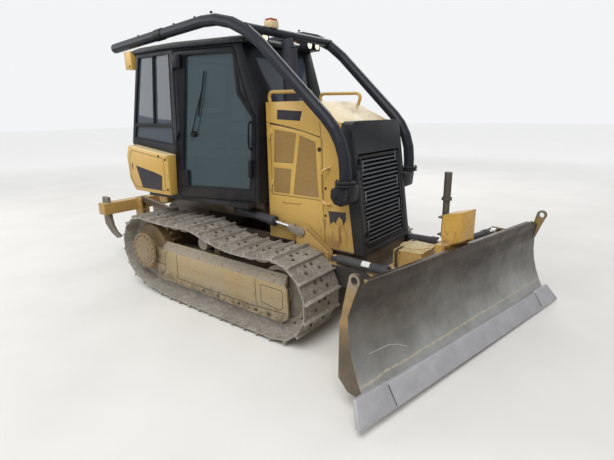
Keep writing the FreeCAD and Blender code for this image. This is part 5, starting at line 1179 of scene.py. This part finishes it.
# Seat: a crowned, seamed pad for the cushion and one for the backrest
def pad(low, high, crown, tilt, pivot):
    """A soft box with rounded sides that pulls in between its corners."""
    bm = bmesh.new()
    bmesh.ops.create_cube(bm, size=1.0)
    bmesh.ops.subdivide_edges(bm, edges=bm.edges, cuts=11, use_grid_fill=True)
    size = Vector(high) - Vector(low)
    middle = (Vector(high) + Vector(low)) / 2
    thin = min(range(3), key=lambda i: size[i])
    long_sides = [i for i in range(3) if i != thin]
    for vert in bm.verts:
        c = [vert.co[i] * 2 for i in range(3)]
        a, b = (c[i] for i in long_sides)
        dome = (1 - a * a) * (1 - b * b)
        for i in long_sides:
            other = b if i == long_sides[0] else a
            c[i] *= 1 - 0.035 * (1 - other * other) - 0.10 * abs(c[thin]) ** 2
        c[thin] *= 0.74 + crown * dome
        for i in range(3):
            vert.co[i] = middle[i] + c[i] * size[i] / 2
        if tilt:
            turn = Matrix.Rotation(tilt, 3, "Y")
            vert.co = Vector(pivot) + turn @ (vert.co - Vector(pivot))
    return bm


def merge(target, other):
    mesh = bpy.data.meshes.new("part")
    other.to_mesh(mesh)
    other.free()
    target.from_mesh(mesh)
    bpy.data.meshes.remove(mesh)


def plump(obj, cap, gain):
    """Lets the cloth swell under pressure, each point moving at most the cap."""
    rest = [v.co.copy() for v in obj.data.vertices]
    cloth = obj.modifiers.new("cloth", "CLOTH")
    cloth.settings.use_pressure = True
    cloth.settings.uniform_pressure_force = gain
    cloth.settings.effector_weights.gravity = 0.0
    for frame_no in range(1, 13):
        scene.frame_set(frame_no)
    depsgraph = bpy.context.evaluated_depsgraph_get()
    posed = obj.evaluated_get(depsgraph).to_mesh()
    moved = [v.co.copy() for v in posed.vertices]
    obj.evaluated_get(depsgraph).to_mesh_clear()
    obj.modifiers.remove(cloth)
    scene.frame_set(1)
    for vert, start, end in zip(obj.data.vertices, rest, moved):
        step = end - start
        if step.length > cap:
            step *= cap / step.length
        vert.co = start + step


def seat_weave():
    s = Shader("seat_weave", specular_ior_level=0.1, sheen_weight=0.25, roughness=0.9)
    fine = s.noise(420.0, 2, 0.5)
    tone = s.mix(s.between(fine, 0.35, 0.65), rgb(40, 40, 44), rgb(66, 66, 70))
    tone = s.mix(s.patches((6.0, 5, 0.6), 0.5, 0.75, 0.0, 0.35, offset=4.0), tone, DUST)
    s.colour(tone)
    s.bump(fine, 0.35, 0.0012)
    return s.mat


SEAM_REACH = 0.022
SEAM_DEPTH = 0.007


def make_seat():
    seat = pad((-0.79, -0.24, 1.412), (-0.31, 0.24, 1.512), 0.26, 0.0, (0, 0, 0))
    merge(seat, pad((-0.790, -0.225, 1.535), (-0.700, 0.225, 2.00), 0.26, radians(-8.0), (-0.745, 0.0, 1.53)))
    merge(seat, pad((-0.865, -0.14, 2.02), (-0.790, 0.14, 2.14), 0.24, radians(-6.0), (-0.83, 0.0, 2.03)))
    mesh = bpy.data.meshes.new("seat_pads")
    seat.to_mesh(mesh)
    seat.free()
    obj = bpy.data.objects.new("seat_pads", mesh)
    scene.collection.objects.link(obj)
    plump(obj, 0.010, 3.0)
    bm = bmesh.new()
    bm.from_mesh(mesh)
    for vert in bm.verts:
        for lane in (-0.13, 0.13):
            depth = max(0.0, 1 - abs(vert.co.y - lane) / SEAM_REACH) * SEAM_DEPTH
            if vert.normal.z > 0.4 or vert.normal.x > 0.4:
                vert.co -= vert.normal * depth
    bmesh.ops.subdivide_edges(bm, edges=bm.edges, cuts=1, use_grid_fill=True, smooth=0.6)
    bm.to_mesh(mesh)
    bm.free()
    for face in mesh.polygons:
        face.use_smooth = True
    mesh.materials.append(seat_weave())
    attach(obj, "tractor")
    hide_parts("seat_cushion")


make_seat()


# Floor, light and camera
BACKDROP = (0.97, 0.985, 1.0, 1.0)
FLOOR_GLOW = 0.46
SKY_LIGHT, SKY_SEEN = 0.55, 0.92


def make_stage():
    bm = bmesh.new()
    bmesh.ops.create_grid(bm, x_segments=1, y_segments=1, size=60.0)
    mesh = bpy.data.meshes.new("floor")
    bm.to_mesh(mesh)
    bm.free()
    floor = bpy.data.objects.new("floor", mesh)
    scene.collection.objects.link(floor)
    s = Shader("floor", specular_ior_level=0.1, roughness=0.9)
    s.colour(s.mix(s.between(s.noise(0.8, 3), 0.3, 0.7), rgb(222, 220, 216), rgb(214, 212, 208)))
    path = s.add("ShaderNodeLightPath").outputs
    seen = s.math("MAXIMUM", path["Is Camera Ray"], path["Is Glossy Ray"])
    seen = s.math("MAXIMUM", seen, path["Is Transmission Ray"])
    far = s.near((0.0, 0.0, 0.0), 16.0, 3.5)
    s.drive("Emission Strength", s.times(s.times(seen, far), FLOOR_GLOW))
    s.bsdf.inputs["Emission Color"].default_value = BACKDROP
    mesh.materials.append(s.mat)
    world = bpy.data.worlds.new("studio")
    scene.world = world
    world.use_nodes = True
    tree = world.node_tree
    rays = tree.nodes.new("ShaderNodeLightPath").outputs
    seen = rays["Is Camera Ray"]
    for kind in ("Is Transmission Ray", "Is Glossy Ray"):
        either = tree.nodes.new("ShaderNodeMath")
        either.operation = "MAXIMUM"
        tree.links.new(seen, either.inputs[0])
        tree.links.new(rays[kind], either.inputs[1])
        seen = either.outputs[0]
    level = tree.nodes.new("ShaderNodeMapRange")
    level.inputs[3].default_value = SKY_LIGHT
    level.inputs[4].default_value = SKY_SEEN
    tree.links.new(seen, level.inputs[0])
    back = tree.nodes["Background"]
    back.inputs[0].default_value = BACKDROP
    tree.links.new(level.outputs[0], back.inputs[1])


def make_lamp(name, place, aim, size, power):
    data = bpy.data.lights.new(name, "AREA")
    data.shape = "DISK"
    data.size = size
    data.energy = power
    lamp = bpy.data.objects.new(name, data)
    lamp.location = place
    lamp.rotation_euler = (Vector(aim) - Vector(place)).to_track_quat("-Z", "Y").to_euler()
    scene.collection.objects.link(lamp)


make_stage()
make_lamp("key", (3.5, -6.5, 9.5), (0.4, 0.0, 1.0), 7.0, 900.0)
make_lamp("fill", (-7.0, -5.0, 5.0), (0.0, 0.0, 1.2), 6.0, 260.0)
make_lamp("rim", (-2.0, 8.0, 7.0), (0.0, 0.0, 1.2), 6.0, 300.0)

CAMERA_PLACE = (3.3646, -3.519, 1.9645)
YAW, PITCH, ROLL = 2.2371423, -0.2691346, -0.0146925
FOCAL_PX = 429.64
IMAGE_W = 614
SENSOR = 36.0


def make_camera():
    look = Vector((cos(PITCH) * cos(YAW), cos(PITCH) * sin(YAW), sin(PITCH)))
    right = look.cross(UP).normalized()
    up = right.cross(look)
    across = right * cos(ROLL) + up * sin(ROLL)
    up = up * cos(ROLL) - right * sin(ROLL)
    data = bpy.data.cameras.new("camera")
    data.sensor_fit = "HORIZONTAL"
    data.sensor_width = SENSOR
    data.lens = FOCAL_PX * SENSOR / IMAGE_W
    data.clip_end = 200.0
    camera = bpy.data.objects.new("camera", data)
    rotation = Matrix((across, up, -look)).transposed()
    camera.matrix_world = Matrix.Translation(CAMERA_PLACE) @ rotation.to_4x4()
    scene.collection.objects.link(camera)
    scene.camera = camera


make_camera()
scene.view_settings.view_transform = "Standard"
